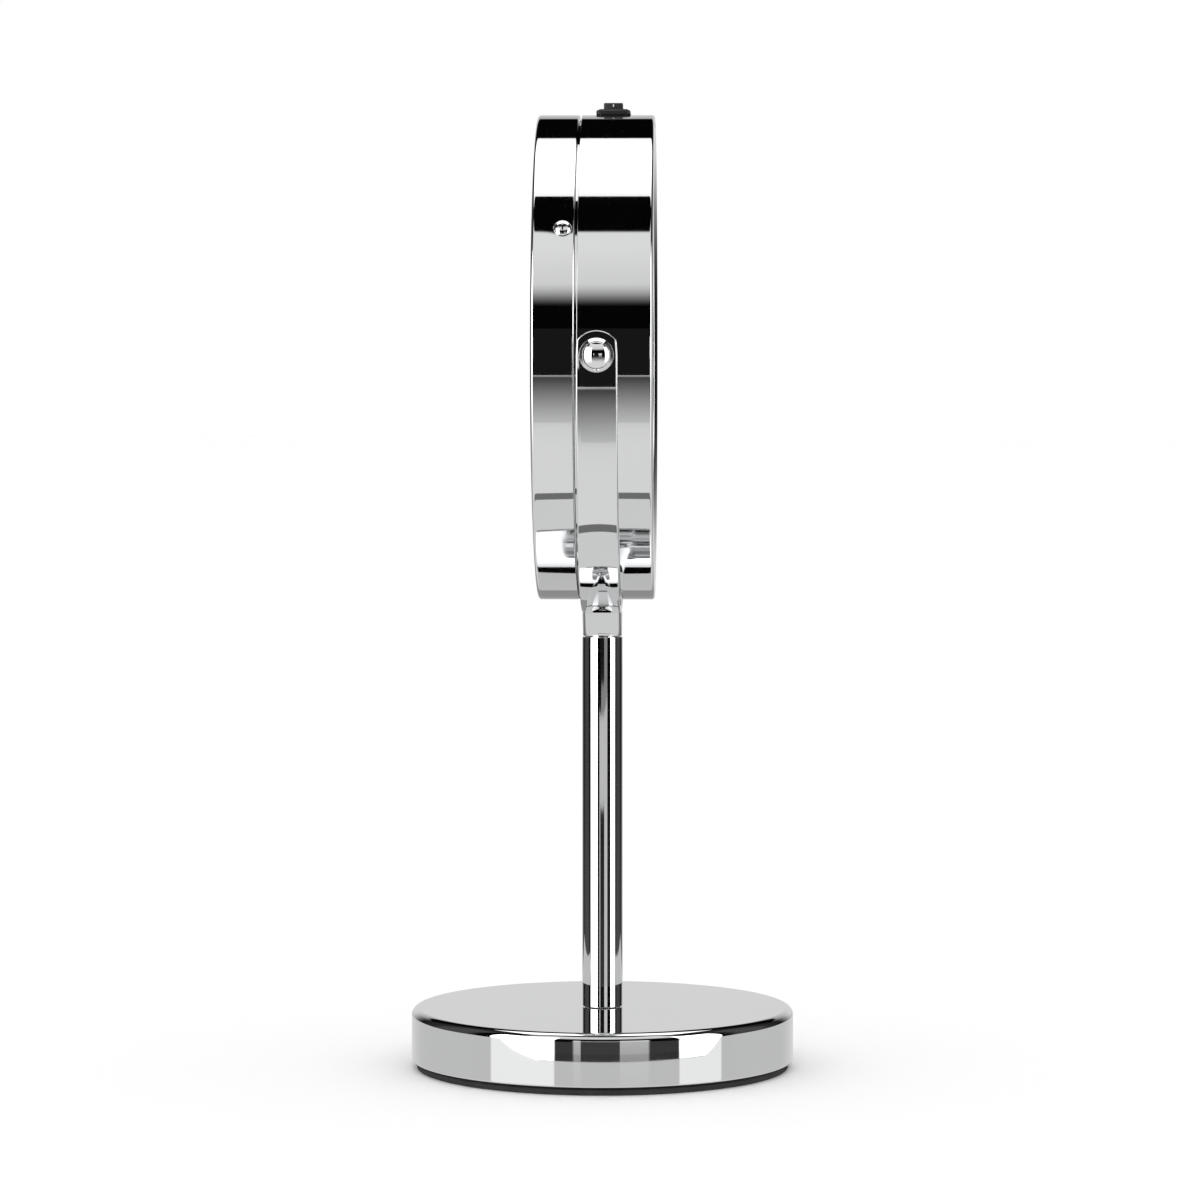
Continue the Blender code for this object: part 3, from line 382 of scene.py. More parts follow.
def make_base():
    low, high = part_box("base_cover")
    radius, top, edge = high.x, high.z, low.z
    inside = radius - PLATE_WALL
    profile = rounded(
        [
            (BOLT_BORE, top, 0.1 * MM),
            (radius, top, BASE_FILLET),
            (radius, edge, BASE_HEM),
            (inside, edge, 0.02 * MM),
            (inside, top - PLATE_WALL, BASE_FILLET - PLATE_WALL),
            (BOLT_BORE, top - PLATE_WALL, 0.1 * MM),
        ],
        14,
    )
    stand_for(turned("plated_base", profile), "chrome", "stand", "base_cover")
    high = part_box("base_pad")[1]
    radius, top = high.x, high.z
    rim = rounded([(0, 0, 0), (radius, 0, 0.3 * MM), (radius, top, 0.7 * MM), (0, top, 0)])[1:-1]
    profile = [(0, 0), *rim, (0, top)]
    stand_for(turned("rubber_pad", profile), "rubber", "stand", "base_pad")


def make_tube(name, node, wall, body):
    low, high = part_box(node)
    bore = high.x - wall
    edge = 0.15 * MM
    profile = rounded(
        [(bore, high.z, edge), (high.x, high.z, edge), (high.x, low.z, edge), (bore, low.z, edge)], 5
    )
    stand_for(turned(name, profile, steps=MEDIUM), "chrome", body, node)


# ---------------------------------------------------------------- yoke

PIVOT = Vector((0, 0, (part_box("pivot_knob_left")[0].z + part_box("pivot_knob_left")[1].z) / 2))
STRIP_THICKNESS = 1.8 * MM
STRIP_END_RADIUS = 8.7 * MM
STRIP_EDGE = 0.5 * MM
PIVOT_HOLE, HOLE_REACH = 2.3 * MM, 5 * MM
ARM_STRAIGHT = 3.2 * MM  # straight stretch of each arm below its pivot
ARM_RADIUS = 106.0 * MM  # bow of the arms, from there to the corners
CORNER_START, CORNER_END = math.radians(42.8), math.radians(68.0)  # how far the strip has turned there
COLLAR_RADIUS = 7.3 * MM
COLLAR_WALL, COLLAR_BORE_DEPTH = 1.4 * MM, 4 * MM
YOKE_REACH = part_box("yoke_strip")[1].x
YOKE_DEPTH = PIVOT.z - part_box("yoke_strip")[0].z


def yoke_arcs():
    """The strip's outer face from an arm to the middle: (radius, turn at start, turn at end)."""
    across = YOKE_REACH - ARM_RADIUS * (1 - math.cos(CORNER_START))
    down = YOKE_DEPTH - ARM_STRAIGHT - ARM_RADIUS * math.sin(CORNER_START)
    shares = Matrix(
        (
            (math.cos(CORNER_START) - math.cos(CORNER_END), math.cos(CORNER_END)),
            (math.sin(CORNER_END) - math.sin(CORNER_START), 1 - math.sin(CORNER_END)),
        )
    )
    corner, bottom = shares.inverted() @ Vector((across, down))
    return (
        (ARM_RADIUS, 0.0, CORNER_START),
        (corner, CORNER_START, CORNER_END),
        (bottom, CORNER_END, math.pi / 2),
    )


YOKE_ARCS = yoke_arcs()
ARM_LENGTH = sum(radius * (end - start) for radius, start, end in YOKE_ARCS)


def on_yoke(along, out):
    """Where a point of the strip laid flat goes: along from the middle, out from its outer face."""
    here = Vector((YOKE_REACH, -ARM_STRAIGHT))
    left = ARM_LENGTH - abs(along)
    outward = Vector((1, 0))
    if left < 0:
        here.y -= left
    for radius, start, end in YOKE_ARCS:
        if left <= 0:
            break
        turn = start + min(left / radius, end - start)
        centre = here - outward * radius
        outward = Vector((math.cos(turn), -math.sin(turn)))
        here = centre + outward * radius
        left -= radius * (end - start)
    here += outward * out
    return Vector((math.copysign(here.x, along), 0, PIVOT.z + here.y))


def make_strip():
    """The strip is laid out flat with its round ends, bevelled, drilled, then bent to its path."""
    half_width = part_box("yoke_strip")[1].y
    pivot_at = ARM_LENGTH + ARM_STRAIGHT
    limit = math.degrees(math.asin(half_width / STRIP_END_RADIUS)) - 3
    tip = [(pivot_at + p.x, p.y) for p in arc((0, 0), STRIP_END_RADIUS, -limit, limit, 36)]
    steps = 150
    run = [pivot_at * k / steps for k in range(-steps, steps + 1)]
    outline = [(s, -half_width) for s in run] + tip + [(s, half_width) for s in reversed(run)]
    outline += [(-x, -y) for x, y in tip]
    shape = bmesh.new()
    rings = [[shape.verts.new((*p, z)) for p in outline] for z in (-STRIP_THICKNESS, 0)]
    loft_rings(shape, rings)
    count, tips = len(run), len(tip)
    for ring in rings:
        near, far = ring[:count], ring[count + tips : 2 * count + tips][::-1]
        for k in range(count - 1):
            shape.faces.new((near[k], near[k + 1], far[k + 1], far[k]))
        shape.faces.new((near[-1], *ring[count : count + tips], far[-1]))
        shape.faces.new((far[0], *ring[2 * count + tips :], near[0]))
    strip = bevelled(to_mesh("yoke_arms", shape), STRIP_EDGE, 4)
    drill = [(0, -HOLE_REACH), (PIVOT_HOLE, -HOLE_REACH), (PIVOT_HOLE, HOLE_REACH), (0, HOLE_REACH)]
    for side in (-1, 1):
        place = Matrix.Translation((side * pivot_at, 0, 0))
        cut(strip, turned("pivot_hole", drill, place))
    for vertex in strip.data.vertices:
        along, across, out = vertex.co
        vertex.co = on_yoke(along, out) + Vector((0, across, 0))
    shape = bmesh.new()
    shape.from_mesh(strip.data)
    bmesh.ops.recalc_face_normals(shape, faces=shape.faces)
    shape.to_mesh(strip.data)
    shape.free()
    stand_for(strip, "chrome", "yoke", "yoke_strip")


def make_collar():
    """The neck: round at the tube, spreading along the strip and saddled to its underside."""
    low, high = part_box("yoke_collar")
    bottom = YOKE_ARCS[-1][0]
    saddle_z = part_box("yoke_strip")[0].z + bottom
    levels, count = 40, 160
    spread, widen = high.x - COLLAR_RADIUS, high.y - COLLAR_RADIUS
    edge = 0.2 * MM
    ease = 0.16  # the neck leaves the tube upright and soon spreads like a cone

    def ring_at(half_x, half_y, power, height):
        return [shape.verts.new((*p, height)) for p in superellipse(half_x, half_y, power, count)]

    def on_saddle(x):
        return saddle_z - math.sqrt((bottom + 0.02 * MM) ** 2 - x**2)

    shape = bmesh.new()
    bore, rim = COLLAR_RADIUS - COLLAR_WALL, COLLAR_RADIUS - edge
    rings = [
        ring_at(bore, bore, 1, low.z + COLLAR_BORE_DEPTH),
        ring_at(bore, bore, 1, low.z),
        ring_at(rim, rim, 1, low.z),
    ]
    tops = superellipse(COLLAR_RADIUS + spread, COLLAR_RADIUS + widen, 2 / 3.6, count)
    for level in range(levels + 1):
        t = level / levels
        long_half = COLLAR_RADIUS + spread * (1 + ease) * t * t / (t + ease)
        points = superellipse(long_half, COLLAR_RADIUS + widen * t, 2 / (2 + 1.6 * t), count)
        start = low.z + edge
        ring = [
            shape.verts.new((x, y, start + (on_saddle(top_x) - start) * t))
            for (x, y), (top_x, _) in zip(points, tops)
        ]
        rings.append(ring)
    rings.append([shape.verts.new((x * 0.9, y * 0.9, on_saddle(x * 0.9))) for x, y in tops])
    loft_rings(shape, rings)
    shape.faces.new(rings[-1])
    shape.faces.new(rings[0])
    stand_for(to_mesh("yoke_neck", shape), "chrome", "yoke", "yoke_collar")


# ---------------------------------------------------------------- head

ALONG_Y = Matrix.Translation(PIVOT) @ Matrix.Rotation(math.radians(-90), 4, "X")
HEAD_WALL = 2.0 * MM
SEAM_FRONT = 7.2 * MM
RING_EASE = 0.8 * MM
WEB_FRONT, WEB_BACK = -6.0 * MM, -4.0 * MM
SPIGOT_RADIUS, SPIGOT_INNER = 87.5 * MM, 85.6 * MM
LOCK_ANGLE = math.radians(30)
LOCK_DEPTH = 0.7 * MM
LOCK_BORE = 3.3 * MM
LOCK_HEAD, LOCK_CROWN, LOCK_SEAT = 3.1 * MM, 2.2 * MM, 89.4 * MM
LOCK_SHANK, LOCK_SHANK_END = 1.5 * MM, 81.4 * MM
DIMPLE_RADIUS, DIMPLE_DEPTH = 8.0 * MM, 0.09 * MM


def make_housing():
    low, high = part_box("main_housing")
    radius, front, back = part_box("rear_ring")[1].x, low.y, high.y
    inner = radius - HEAD_WALL
    profile = rounded(
        [
            (0, WEB_FRONT, 0),
            (inner, WEB_FRONT, 0),
            (inner, front, 0.3 * MM),
            (radius, front, 1.1 * MM),
            (radius, SEAM_FRONT, 0.2 * MM),
            (SPIGOT_RADIUS, SEAM_FRONT, 0),
            (SPIGOT_RADIUS, back, 0.3 * MM),
            (SPIGOT_INNER, back, 0.3 * MM),
            (SPIGOT_INNER, WEB_BACK, 0),
            (0, WEB_BACK, 0),
        ]
    )
    stand_for(turned("head_drum", profile, ALONG_Y), "chrome", "head", "main_housing")


def lock_place():
    """The lock screw's own frame: its origin on the pivot axis, local Z outward."""
    outward = Vector((-math.cos(LOCK_ANGLE), 0, math.sin(LOCK_ANGLE)))
    low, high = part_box("lock_screw")
    middle = (low.y + high.y) / 2
    place = Matrix.Translation(PIVOT + Vector((0, middle, 0)))
    return place @ outward.to_track_quat("Z", "Y").to_matrix().to_4x4()


def make_ring():
    low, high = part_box("rear_ring")
    radius, seam, rear = high.x, low.y, high.y
    inner = radius - HEAD_WALL
    lip, lip_front = 82.6 * MM, rear - 1.8 * MM
    place = lock_place()
    to_lock = place.inverted()
    profile = rounded(
        [
            (inner, seam, 0),
            (radius, seam, RING_EASE),
            (radius, rear, 1.2 * MM),
            (lip, rear, 0.7 * MM),
            (lip, lip_front, 0),
            (inner, lip_front, 0),
        ],
        10,
    )
    finer = []
    for here, after in zip(profile, profile[1:] + profile[:1]):
        span = after - here
        pieces = 34 if span.length > 8 * MM and abs(span.x) < 1e-9 and here.x > inner else 1
        finer += [here + span * k / pieces for k in range(pieces)]

    def dished(point):
        local = to_lock @ point
        away = math.hypot(local.x, local.y)
        if away > DIMPLE_RADIUS or local.z < radius - 1.5 * MM:
            return point
        local.z -= DIMPLE_DEPTH * (1 - away / DIMPLE_RADIUS) ** 2
        return place @ local

    fine_half, fine_count = math.radians(6), 48
    lock_at = math.pi + LOCK_ANGLE
    angles = [a for a in even_angles(FINE) if abs(a - lock_at) > fine_half * 1.08]
    angles += [lock_at + fine_half * (2 * k / fine_count - 1) for k in range(fine_count + 1)]
    ring = turned("head_rear_ring", finer, ALONG_Y, sorted(angles), shift=dished)
    floor = radius - LOCK_DEPTH
    seat = [(0, floor), (LOCK_BORE, floor), (LOCK_BORE, radius + MM), (0, radius + MM)]
    cut(ring, turned("seat", seat, place, steps=COARSE))
    stand_for(ring, "chrome", "head", "rear_ring")


def make_lock_screw():
    """A pan head with a cross recess and a plain shank."""
    place = lock_place()
    top = LOCK_SEAT + LOCK_CROWN
    profile = [(0, top)]
    for a in range(6, 90, 6):
        angle = math.radians(a)
        height = LOCK_SEAT + LOCK_CROWN * (0.35 + 0.65 * math.cos(angle))
        profile.append((LOCK_HEAD * math.sin(angle), height))
    profile += [(LOCK_HEAD, LOCK_SEAT + 0.6 * MM), (LOCK_HEAD, LOCK_SEAT), (LOCK_SHANK, LOCK_SEAT)]
    profile += [(LOCK_SHANK, LOCK_SHANK_END), (0, LOCK_SHANK_END)]
    screw = turned("ring_lock_screw", profile, place, steps=COARSE)
    shape = bmesh.new()
    arm, half = 1.75 * MM, 0.34 * MM
    cross = [(arm, half), (half, half), (half, arm), (-half, arm), (-half, half), (-arm, half)]
    cross += [(-x, -y) for x, y in cross]
    rings = []
    for height, scale in ((top - 0.75 * MM, 0.62), (top + 1 * MM, 1.3)):
        spots = [place @ Vector((x * scale, y * scale, height)) for x, y in cross]
        rings.append([shape.verts.new(spot) for spot in spots])
    loft_rings(shape, rings)
    shape.faces.new(rings[0])
    shape.faces.new(rings[1])
    stand_for(cut(screw, to_mesh("recess", shape)), "chrome", "head", "lock_screw")


def make_glass_and_bezel():
    low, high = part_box("plain_mirror")
    radius = high.x
    profile = rounded([(0, low.y, 0), (radius, low.y, 0.4 * MM), (radius, high.y, 0.4 * MM), (0, high.y, 0)])
    stand_for(turned("plain_glass", profile, ALONG_Y), "mirror_glass", "head", "plain_mirror")

    low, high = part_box("front_bezel")
    outer, crown, back = high.x, low.y, high.y
    inner, seat = 81.2 * MM, -17.2 * MM
    skirt = outer - 1.3 * MM
    profile = rounded(
        [
            (inner, seat, 0.1 * MM),
            (inner, seat - 1.3 * MM, 0.5 * MM),
            (84.4 * MM, crown, 2.0 * MM),
            (outer, crown + 0.5 * MM, 0.6 * MM),
            (outer, back, 0.1 * MM),
            (skirt, back, 0.1 * MM),
            (skirt, seat, 0),
        ]
    )
    stand_for(turned("lamp_bezel", profile, ALONG_Y), "chrome", "head", "front_bezel")

    low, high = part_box("diffuser_ring")
    hole = 66.4 * MM
    edge = 0.25 * MM
    profile = rounded(
        [(hole, low.y, edge), (high.x, low.y, edge), (high.x, high.y, edge), (hole, high.y, edge)], 4
    )
    stand_for(turned("lamp_diffuser", profile, ALONG_Y), "diffuser", "head", "diffuser_ring")

    low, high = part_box("magnifying_mirror")
    radius, edge_y = high.x, low.y
    sag, glass, chamfer = 3.4 * MM, 2.0 * MM, 0.5 * MM
    curve = (radius**2 + sag**2) / (2 * sag)

    def hollow(r):
        return edge_y + sag - (curve - math.sqrt(curve**2 - r**2))

    radii = [(radius - chamfer) * k / 48 for k in range(49)]
    profile = [(r, hollow(r)) for r in radii]
    profile += [(radius, hollow(radius) + chamfer), (radius, hollow(radius) + glass)]
    profile += [(r, hollow(r) + glass) for r in reversed(radii)]
    glass_piece = turned("magnifying_glass", profile, ALONG_Y)
    stand_for(glass_piece, "mirror_glass", "head", "magnifying_mirror")


# ---------------------------------------------------------------- pivots

KNOB_RIM = 4.7 * MM
KNOB_RIM_ANGLE = 38


def make_pivot(side):
    label = "left" if side < 0 else "right"
    node = f"pivot_knob_{label}"
    low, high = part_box(node)
    tip = max(abs(low.x), abs(high.x))
    stud_end = min(abs(low.x), abs(high.x))
    flange = high.y
    outward = Matrix.Translation(PIVOT) @ Matrix.Rotation(side * math.pi / 2, 4, "Y")
    dome = KNOB_RIM / math.sin(math.radians(KNOB_RIM_ANGLE))
    centre = tip - dome
    rim = centre + dome * math.cos(math.radians(KNOB_RIM_ANGLE))
    edge = rim - 1.5 * MM
    seat = edge - 0.5 * MM
    stud = 2.0 * MM
    cap = arc((0, centre), dome, 90, 90 - KNOB_RIM_ANGLE + 1.5, 20)
    skirt = rounded(
        [
            (KNOB_RIM, rim - 0.35 * MM, 0),
            (KNOB_RIM + 0.18 * MM, rim - 0.02 * MM, 0.06 * MM),
            (flange, edge, 0.3 * MM),
            (flange, seat, 0.12 * MM),
            (stud, seat, 0),
            (stud, stud_end, 0.3 * MM),
            (0, stud_end, 0),
        ],
        6,
    )
    profile = [(0, tip), *cap[1:], (KNOB_RIM, rim - 0.12 * MM), *skirt]
    stand_for(turned(f"pivot_cap_{label}", profile, outward, steps=MEDIUM), "chrome", "head", node)

    node = f"pivot_washer_{label}"
    low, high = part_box(node)
    near, far = sorted((abs(low.x), abs(high.x)))
    hole = 2.3 * MM
    ease = 0.2 * MM
    profile = rounded([(hole, far, ease), (high.y, far, ease), (high.y, near, ease), (hole, near, ease)], 4)
    stand_for(turned(f"friction_washer_{label}", profile, outward, steps=COARSE), "nylon", "head", node)


# ---------------------------------------------------------------- switch

WELL_X, WELL_Y, WELL_DEPTH = 7.7 * MM, 4.0 * MM, 7.4 * MM
ROCKER_AXIS = 90.0 * MM  # height of the rocker's axle above the pivots
ROCKER_THROW = math.radians(9)  # how far it leans to either side


def make_switch():
    low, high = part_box("switch_body")
    middle = (low.y + high.y) / 2
    half_x, half_y, top = high.x, (high.y - low.y) / 2, high.z
    drum = PIVOT.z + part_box("rear_ring")[1].x + 0.05 * MM
    body_x, body_y = half_x - 1.0 * MM, half_y - 1.0 * MM
    bevel, rise = 1.2 * MM, 0.7 * MM

    def level(x_half, y_half, corner, height):
        ring = []
        for p in round_rectangle(x_half, y_half, corner):
            ring.append(shape.verts.new((p.x, p.y + middle, height)))
        return ring

    shape = bmesh.new()
    ease = 0.15 * MM
    rings = [
        level(body_x, body_y, 0.8 * MM, low.z),
        level(body_x, body_y, 0.8 * MM, drum),
        level(half_x, half_y, 1.3 * MM, drum),
        level(half_x, half_y, 1.3 * MM, top - rise - ease),
        level(half_x - ease * 0.4, half_y - ease * 0.4, 1.2 * MM, top - rise + ease * 0.4),
        level(half_x - bevel + ease, half_y - bevel + ease, 0.8 * MM, top - ease * 0.6),
        level(half_x - bevel - ease, half_y - bevel - ease, 0.7 * MM, top),
        level(WELL_X + ease, WELL_Y + ease, 0.5 * MM, top),
        level(WELL_X, WELL_Y, 0.4 * MM, top - ease),
        level(WELL_X, WELL_Y, 0.4 * MM, top - WELL_DEPTH),
    ]
    loft_rings(shape, rings)
    shape.faces.new(rings[0])
    shape.faces.new(rings[-1])
    stand_for(to_mesh("switch_bezel", shape), "black_plastic", "head", "switch_body")
    make_rocker(middle)


def make_rocker(middle):
    """The rocker, raised at its -X end, with a small pale dash on that end."""
    half_x, half_y = 6.9 * MM, 3.55 * MM
    outline = [
        (half_x, 3.4 * MM, 0.5 * MM),
        (0, 2.3 * MM, 6.0 * MM),
        (-half_x, 3.4 * MM, 0.5 * MM),
        (-half_x, -0.5 * MM, 0.3 * MM),
        (-4.0 * MM, -3.4 * MM, 0.3 * MM),
        (4.0 * MM, -3.4 * MM, 0.3 * MM),
        (half_x, -0.5 * MM, 0.3 * MM),
    ]
    points = rounded(outline, 6)
    axle = Matrix.Translation((0, middle, PIVOT.z + ROCKER_AXIS))
    turn = axle @ Matrix.Rotation(ROCKER_THROW, 4, "Y")
    shape = bmesh.new()
    rings = []
    ease = 0.35 * MM
    for y, inset in ((-half_y, 1), (-half_y + 0.3 * ease, 0.3), (-half_y + ease, 0)):
        rings.append((y, inset))
    rings += [(-y, inset) for y, inset in reversed(rings)]
    made = []
    for y, inset in rings:
        shrink = 1 - inset * ease / half_x
        flatten = 1 - inset * 0.1
        spots = [turn @ Vector((p.x * shrink, y, p.y * flatten)) for p in points]
        made.append([shape.verts.new(spot) for spot in spots])
    loft_rings(shape, made)
    shape.faces.new(made[0])
    shape.faces.new(made[-1])
    rocker = to_mesh("switch_paddle", shape)
    stand_for(rocker, "black_plastic", "rocker", "switch_rocker")
    mark = bmesh.new()
    bmesh.ops.create_cube(mark, size=1.0)
    bmesh.ops.scale(mark, vec=(0.12 * MM, 0.4 * MM, 1.0 * MM), verts=mark.verts)
    bmesh.ops.bevel(mark, geom=mark.edges[:], offset=0.04 * MM, segments=2, affect="EDGES")
    bmesh.ops.transform(mark, matrix=turn @ Matrix.Translation((-half_x, 0, 2.2 * MM)), verts=mark.verts)
    obj = to_mesh("paddle_mark", mark)
    obj.data.materials.append(MARK_WHITE)
    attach(obj, "rocker")


# ---------------------------------------------------------------- studio


class World:
    """The nodes of the studio: levels of grey by direction for reflections, plain light otherwise."""

    def __init__(self):
        self.world = bpy.data.worlds.new("studio")
        bpy.context.scene.world = self.world
        self.world.use_nodes = True
        self.tree = self.world.node_tree
        self.tree.nodes.clear()

    def node(self, kind, **settings):
        made = self.tree.nodes.new(kind)
        for key, value in settings.items():
            setattr(made, key, value)
        return made

    def math(self, operation, first, second=0.0):
        made = self.node("ShaderNodeMath", operation=operation)
        for socket, value in zip(made.inputs, (first, second)):
            if isinstance(value, (int, float)):
                socket.default_value = value
            else:
                self.tree.links.new(value, socket)
        return made.outputs[0]

    def step(self, value, start, end, low=0.0, high=1.0):
        """A smooth step of a value from low at start to high at end."""
        made = self.node("ShaderNodeMapRange", interpolation_type="SMOOTHSTEP")
        for key, number in (("From Min", start), ("From Max", end), ("To Min", low), ("To Max", high)):
            made.inputs[key].default_value = number
        self.tree.links.new(value, made.inputs["Value"])
        return made.outputs["Result"]

    def band(self, value, low, high, soft):
        rise = self.step(value, low - soft, low + soft)
        fall = self.step(value, high - soft, high + soft, 1.0, 0.0)
        return self.math("MULTIPLY", rise, fall)

    def over(self, below, level, mask):
        """Lays a level over what is below it, where the mask says."""
        gap = self.math("SUBTRACT", level, below)
        return self.math("ADD", below, self.math("MULTIPLY", gap, mask))

    def patch(self, below, side, up, across, upward, level):
        """Lays a soft-edged rectangle of one level over what is below it."""
        mask = self.math("MULTIPLY", self.band(side, *across), self.band(up, *upward))
        return self.over(below, level, mask)


AMBIENT = 1.12  # light on matt surfaces
# Studio patches by direction in degrees: (from, to, softness) across, the same upward, and a level.
# Across is measured from -X, where the camera stands, positive towards -Y.
LOW_WALL = ((-16, 29, 0.8), (-1, 9, 0.7), 0.75)
SKIRTING = ((-6, 29, 0.8), (-12, -1, 0.7), 0.26)
LEFT_SOFTBOX = ((-69, -27.5, 0.7), (-30, 39, 0.8), 3.2)
RIGHT_SOFTBOX = ((48, 77, 0.7), (-30, 39, 0.8), 3.0)
FAR_LEFT, FAR_RIGHT, FAR_UPWARD, FAR_LEVEL = (-116, -84, 6), (88, 118, 6), (-6, 48, 5), 0.07
# The glossy sheet under the object, whose front is an arc about the stem, and the table beyond it; along that
# front runs a dark band of painted shadow
SHEET_FRONT, SHEET_HALF, SHEET_BACK = -0.152, 0.33, 0.24
SHEET_ARC, SHEET_ARC_STEPS, SHEET_EDGE_SHADOW = (152, 230), 26, 0.018
SHADE_FRONT, SHADE_HALF = 0.05, 0.06
FOOT_SHADOW = 0.0728
FLOOR_FRONT, FLOOR_HALF, FLOOR_BACK = -1.80, 1.9, 2.4
FLAG_X, FLAG_HALF, FLAG_LOW, FLAG_HIGH = -1.5, 0.3, 0.045, 0.60  # dark cloth round the camera
TOP_NEAR, TOP_FAR, TOP_HALF, TOP_HEIGHT = -0.276, 0.879, 0.80, 1.607  # the overhead softbox
TOP_LEVELS = ((0.0, 0.56), (0.12, 0.72), (0.3, 0.9), (0.7, 0.9), (1.0, 0.5))  # half levels, near to far
CAMERA_AT = (-1.5857, -0.0358, 0.2486)
CAMERA_TURN, CAMERA_TILT = math.radians(1.327), math.radians(-2.651)
CAMERA_LENS, SENSOR = 127.4, 36.0  # millimetres


def make_world():
    w = World()
    place = w.node("ShaderNodeTexCoord").outputs["Generated"]
    axes = w.node("ShaderNodeSeparateXYZ")
    w.tree.links.new(place, axes.inputs[0])
    x, y, z = axes.outputs
    up = w.math("MULTIPLY", w.math("ARCSINE", z), 180 / math.pi)
    turn = w.math("ARCTAN2", w.math("MULTIPLY", y, -1.0), w.math("MULTIPLY", x, -1.0))
    side = w.math("MULTIPLY", turn, 180 / math.pi)
    swing = w.math("ABSOLUTE", side)

    room = w.math("ADD", w.math("MULTIPLY", w.band(swing, 84, 135, 8), 0.022), 0.0015)
    # Backdrop behind the object
    backdrop = w.math("MULTIPLY", w.step(swing, 135, 165), w.band(up, -14, 24, 1.2))
    room = w.over(room, w.step(up, 8, 22, 0.72, 0.50), backdrop)
    # Pale wall behind the camera: low down, then again above the dark stretch
    room = w.patch(room, side, up, *LOW_WALL)
    room = w.patch(room, side, up, *SKIRTING)
    rise = w.math("MULTIPLY", w.step(up, 23.2, 35.4), w.step(up, 59.6, 61.2, 1.0, 0.0))
    high_wall = w.math("MULTIPLY", w.step(swing, 48, 60, 1.0, 0.0), rise)
    room = w.over(room, w.step(up, 33, 55, 0.76, 0.86), high_wall)
    # Tall softboxes on either side of the camera
    room = w.patch(room, side, up, *LEFT_SOFTBOX)
    room = w.patch(room, side, up, *RIGHT_SOFTBOX)
    # Weak panels far out on both sides
    beside = w.math("MAXIMUM", w.band(side, *FAR_LEFT), w.band(side, *FAR_RIGHT))
    room = w.over(room, FAR_LEVEL, w.math("MULTIPLY", beside, w.band(up, *FAR_UPWARD)))
    path = w.node("ShaderNodeLightPath")
    seen = w.over(w.step(up, -10, 60, AMBIENT * 0.92, AMBIENT * 1.05), room, path.outputs["Is Glossy Ray"])
    seen = w.over(seen, 1.0, path.outputs["Is Camera Ray"])
    back = w.node("ShaderNodeBackground")
    back.inputs["Color"].default_value = (1, 1, 1, 1)
    w.tree.links.new(seen, back.inputs["Strength"])
    out = w.node("ShaderNodeOutputWorld")
    w.tree.links.new(back.outputs[0], out.inputs["Surface"])
    w.world.cycles.sampling_method = "NONE"


def flat_panel(name, corners):
    """A stage panel of one face."""
    mesh = bpy.data.meshes.new(name)
    mesh.from_pydata(corners, [], [tuple(range(len(corners)))])
    obj = bpy.data.objects.new(name, mesh)
    bpy.context.scene.collection.objects.link(obj)
    return obj


def reflections_only(obj):
    obj.visible_camera = False
    obj.visible_diffuse = False
    obj.visible_shadow = False
    obj.visible_transmission = False
    obj.visible_volume_scatter = False


def floor_panel(name, front, back, half, height):
    corners = [(front, -half, height), (back, -half, height), (back, half, height), (front, half, height)]
    return flat_panel(name, corners)


def glowing_gloss(name, level, start, end, most):
    """A pale glossy sheet as reflections see it: its own level, and a mirror at grazing angles."""
    material = bpy.data.materials.new(name)
    material.use_nodes = True
    tree = material.node_tree
    tree.nodes.clear()
    glow = tree.nodes.new("ShaderNodeEmission")
    glow.inputs["Strength"].default_value = level
    gloss = tree.nodes.new("ShaderNodeBsdfGlossy")
    gloss.inputs["Roughness"].default_value = 0.02
    facing = tree.nodes.new("ShaderNodeLayerWeight")
    facing.inputs["Blend"].default_value = 0.5
    step = tree.nodes.new("ShaderNodeMapRange")
    step.interpolation_type = "SMOOTHSTEP"
    for key, number in (("From Min", start), ("From Max", end), ("To Min", 0.0), ("To Max", most)):
        step.inputs[key].default_value = number
    mix = tree.nodes.new("ShaderNodeMixShader")
    out = tree.nodes.new("ShaderNodeOutputMaterial")
    tree.links.new(facing.outputs["Facing"], step.inputs["Value"])
    tree.links.new(step.outputs[0], mix.inputs[0])
    tree.links.new(glow.outputs[0], mix.inputs[1])
    tree.links.new(gloss.outputs[0], mix.inputs[2])
    tree.links.new(mix.outputs[0], out.inputs["Surface"])
    material.cycles.emission_sampling = "NONE"
    return material


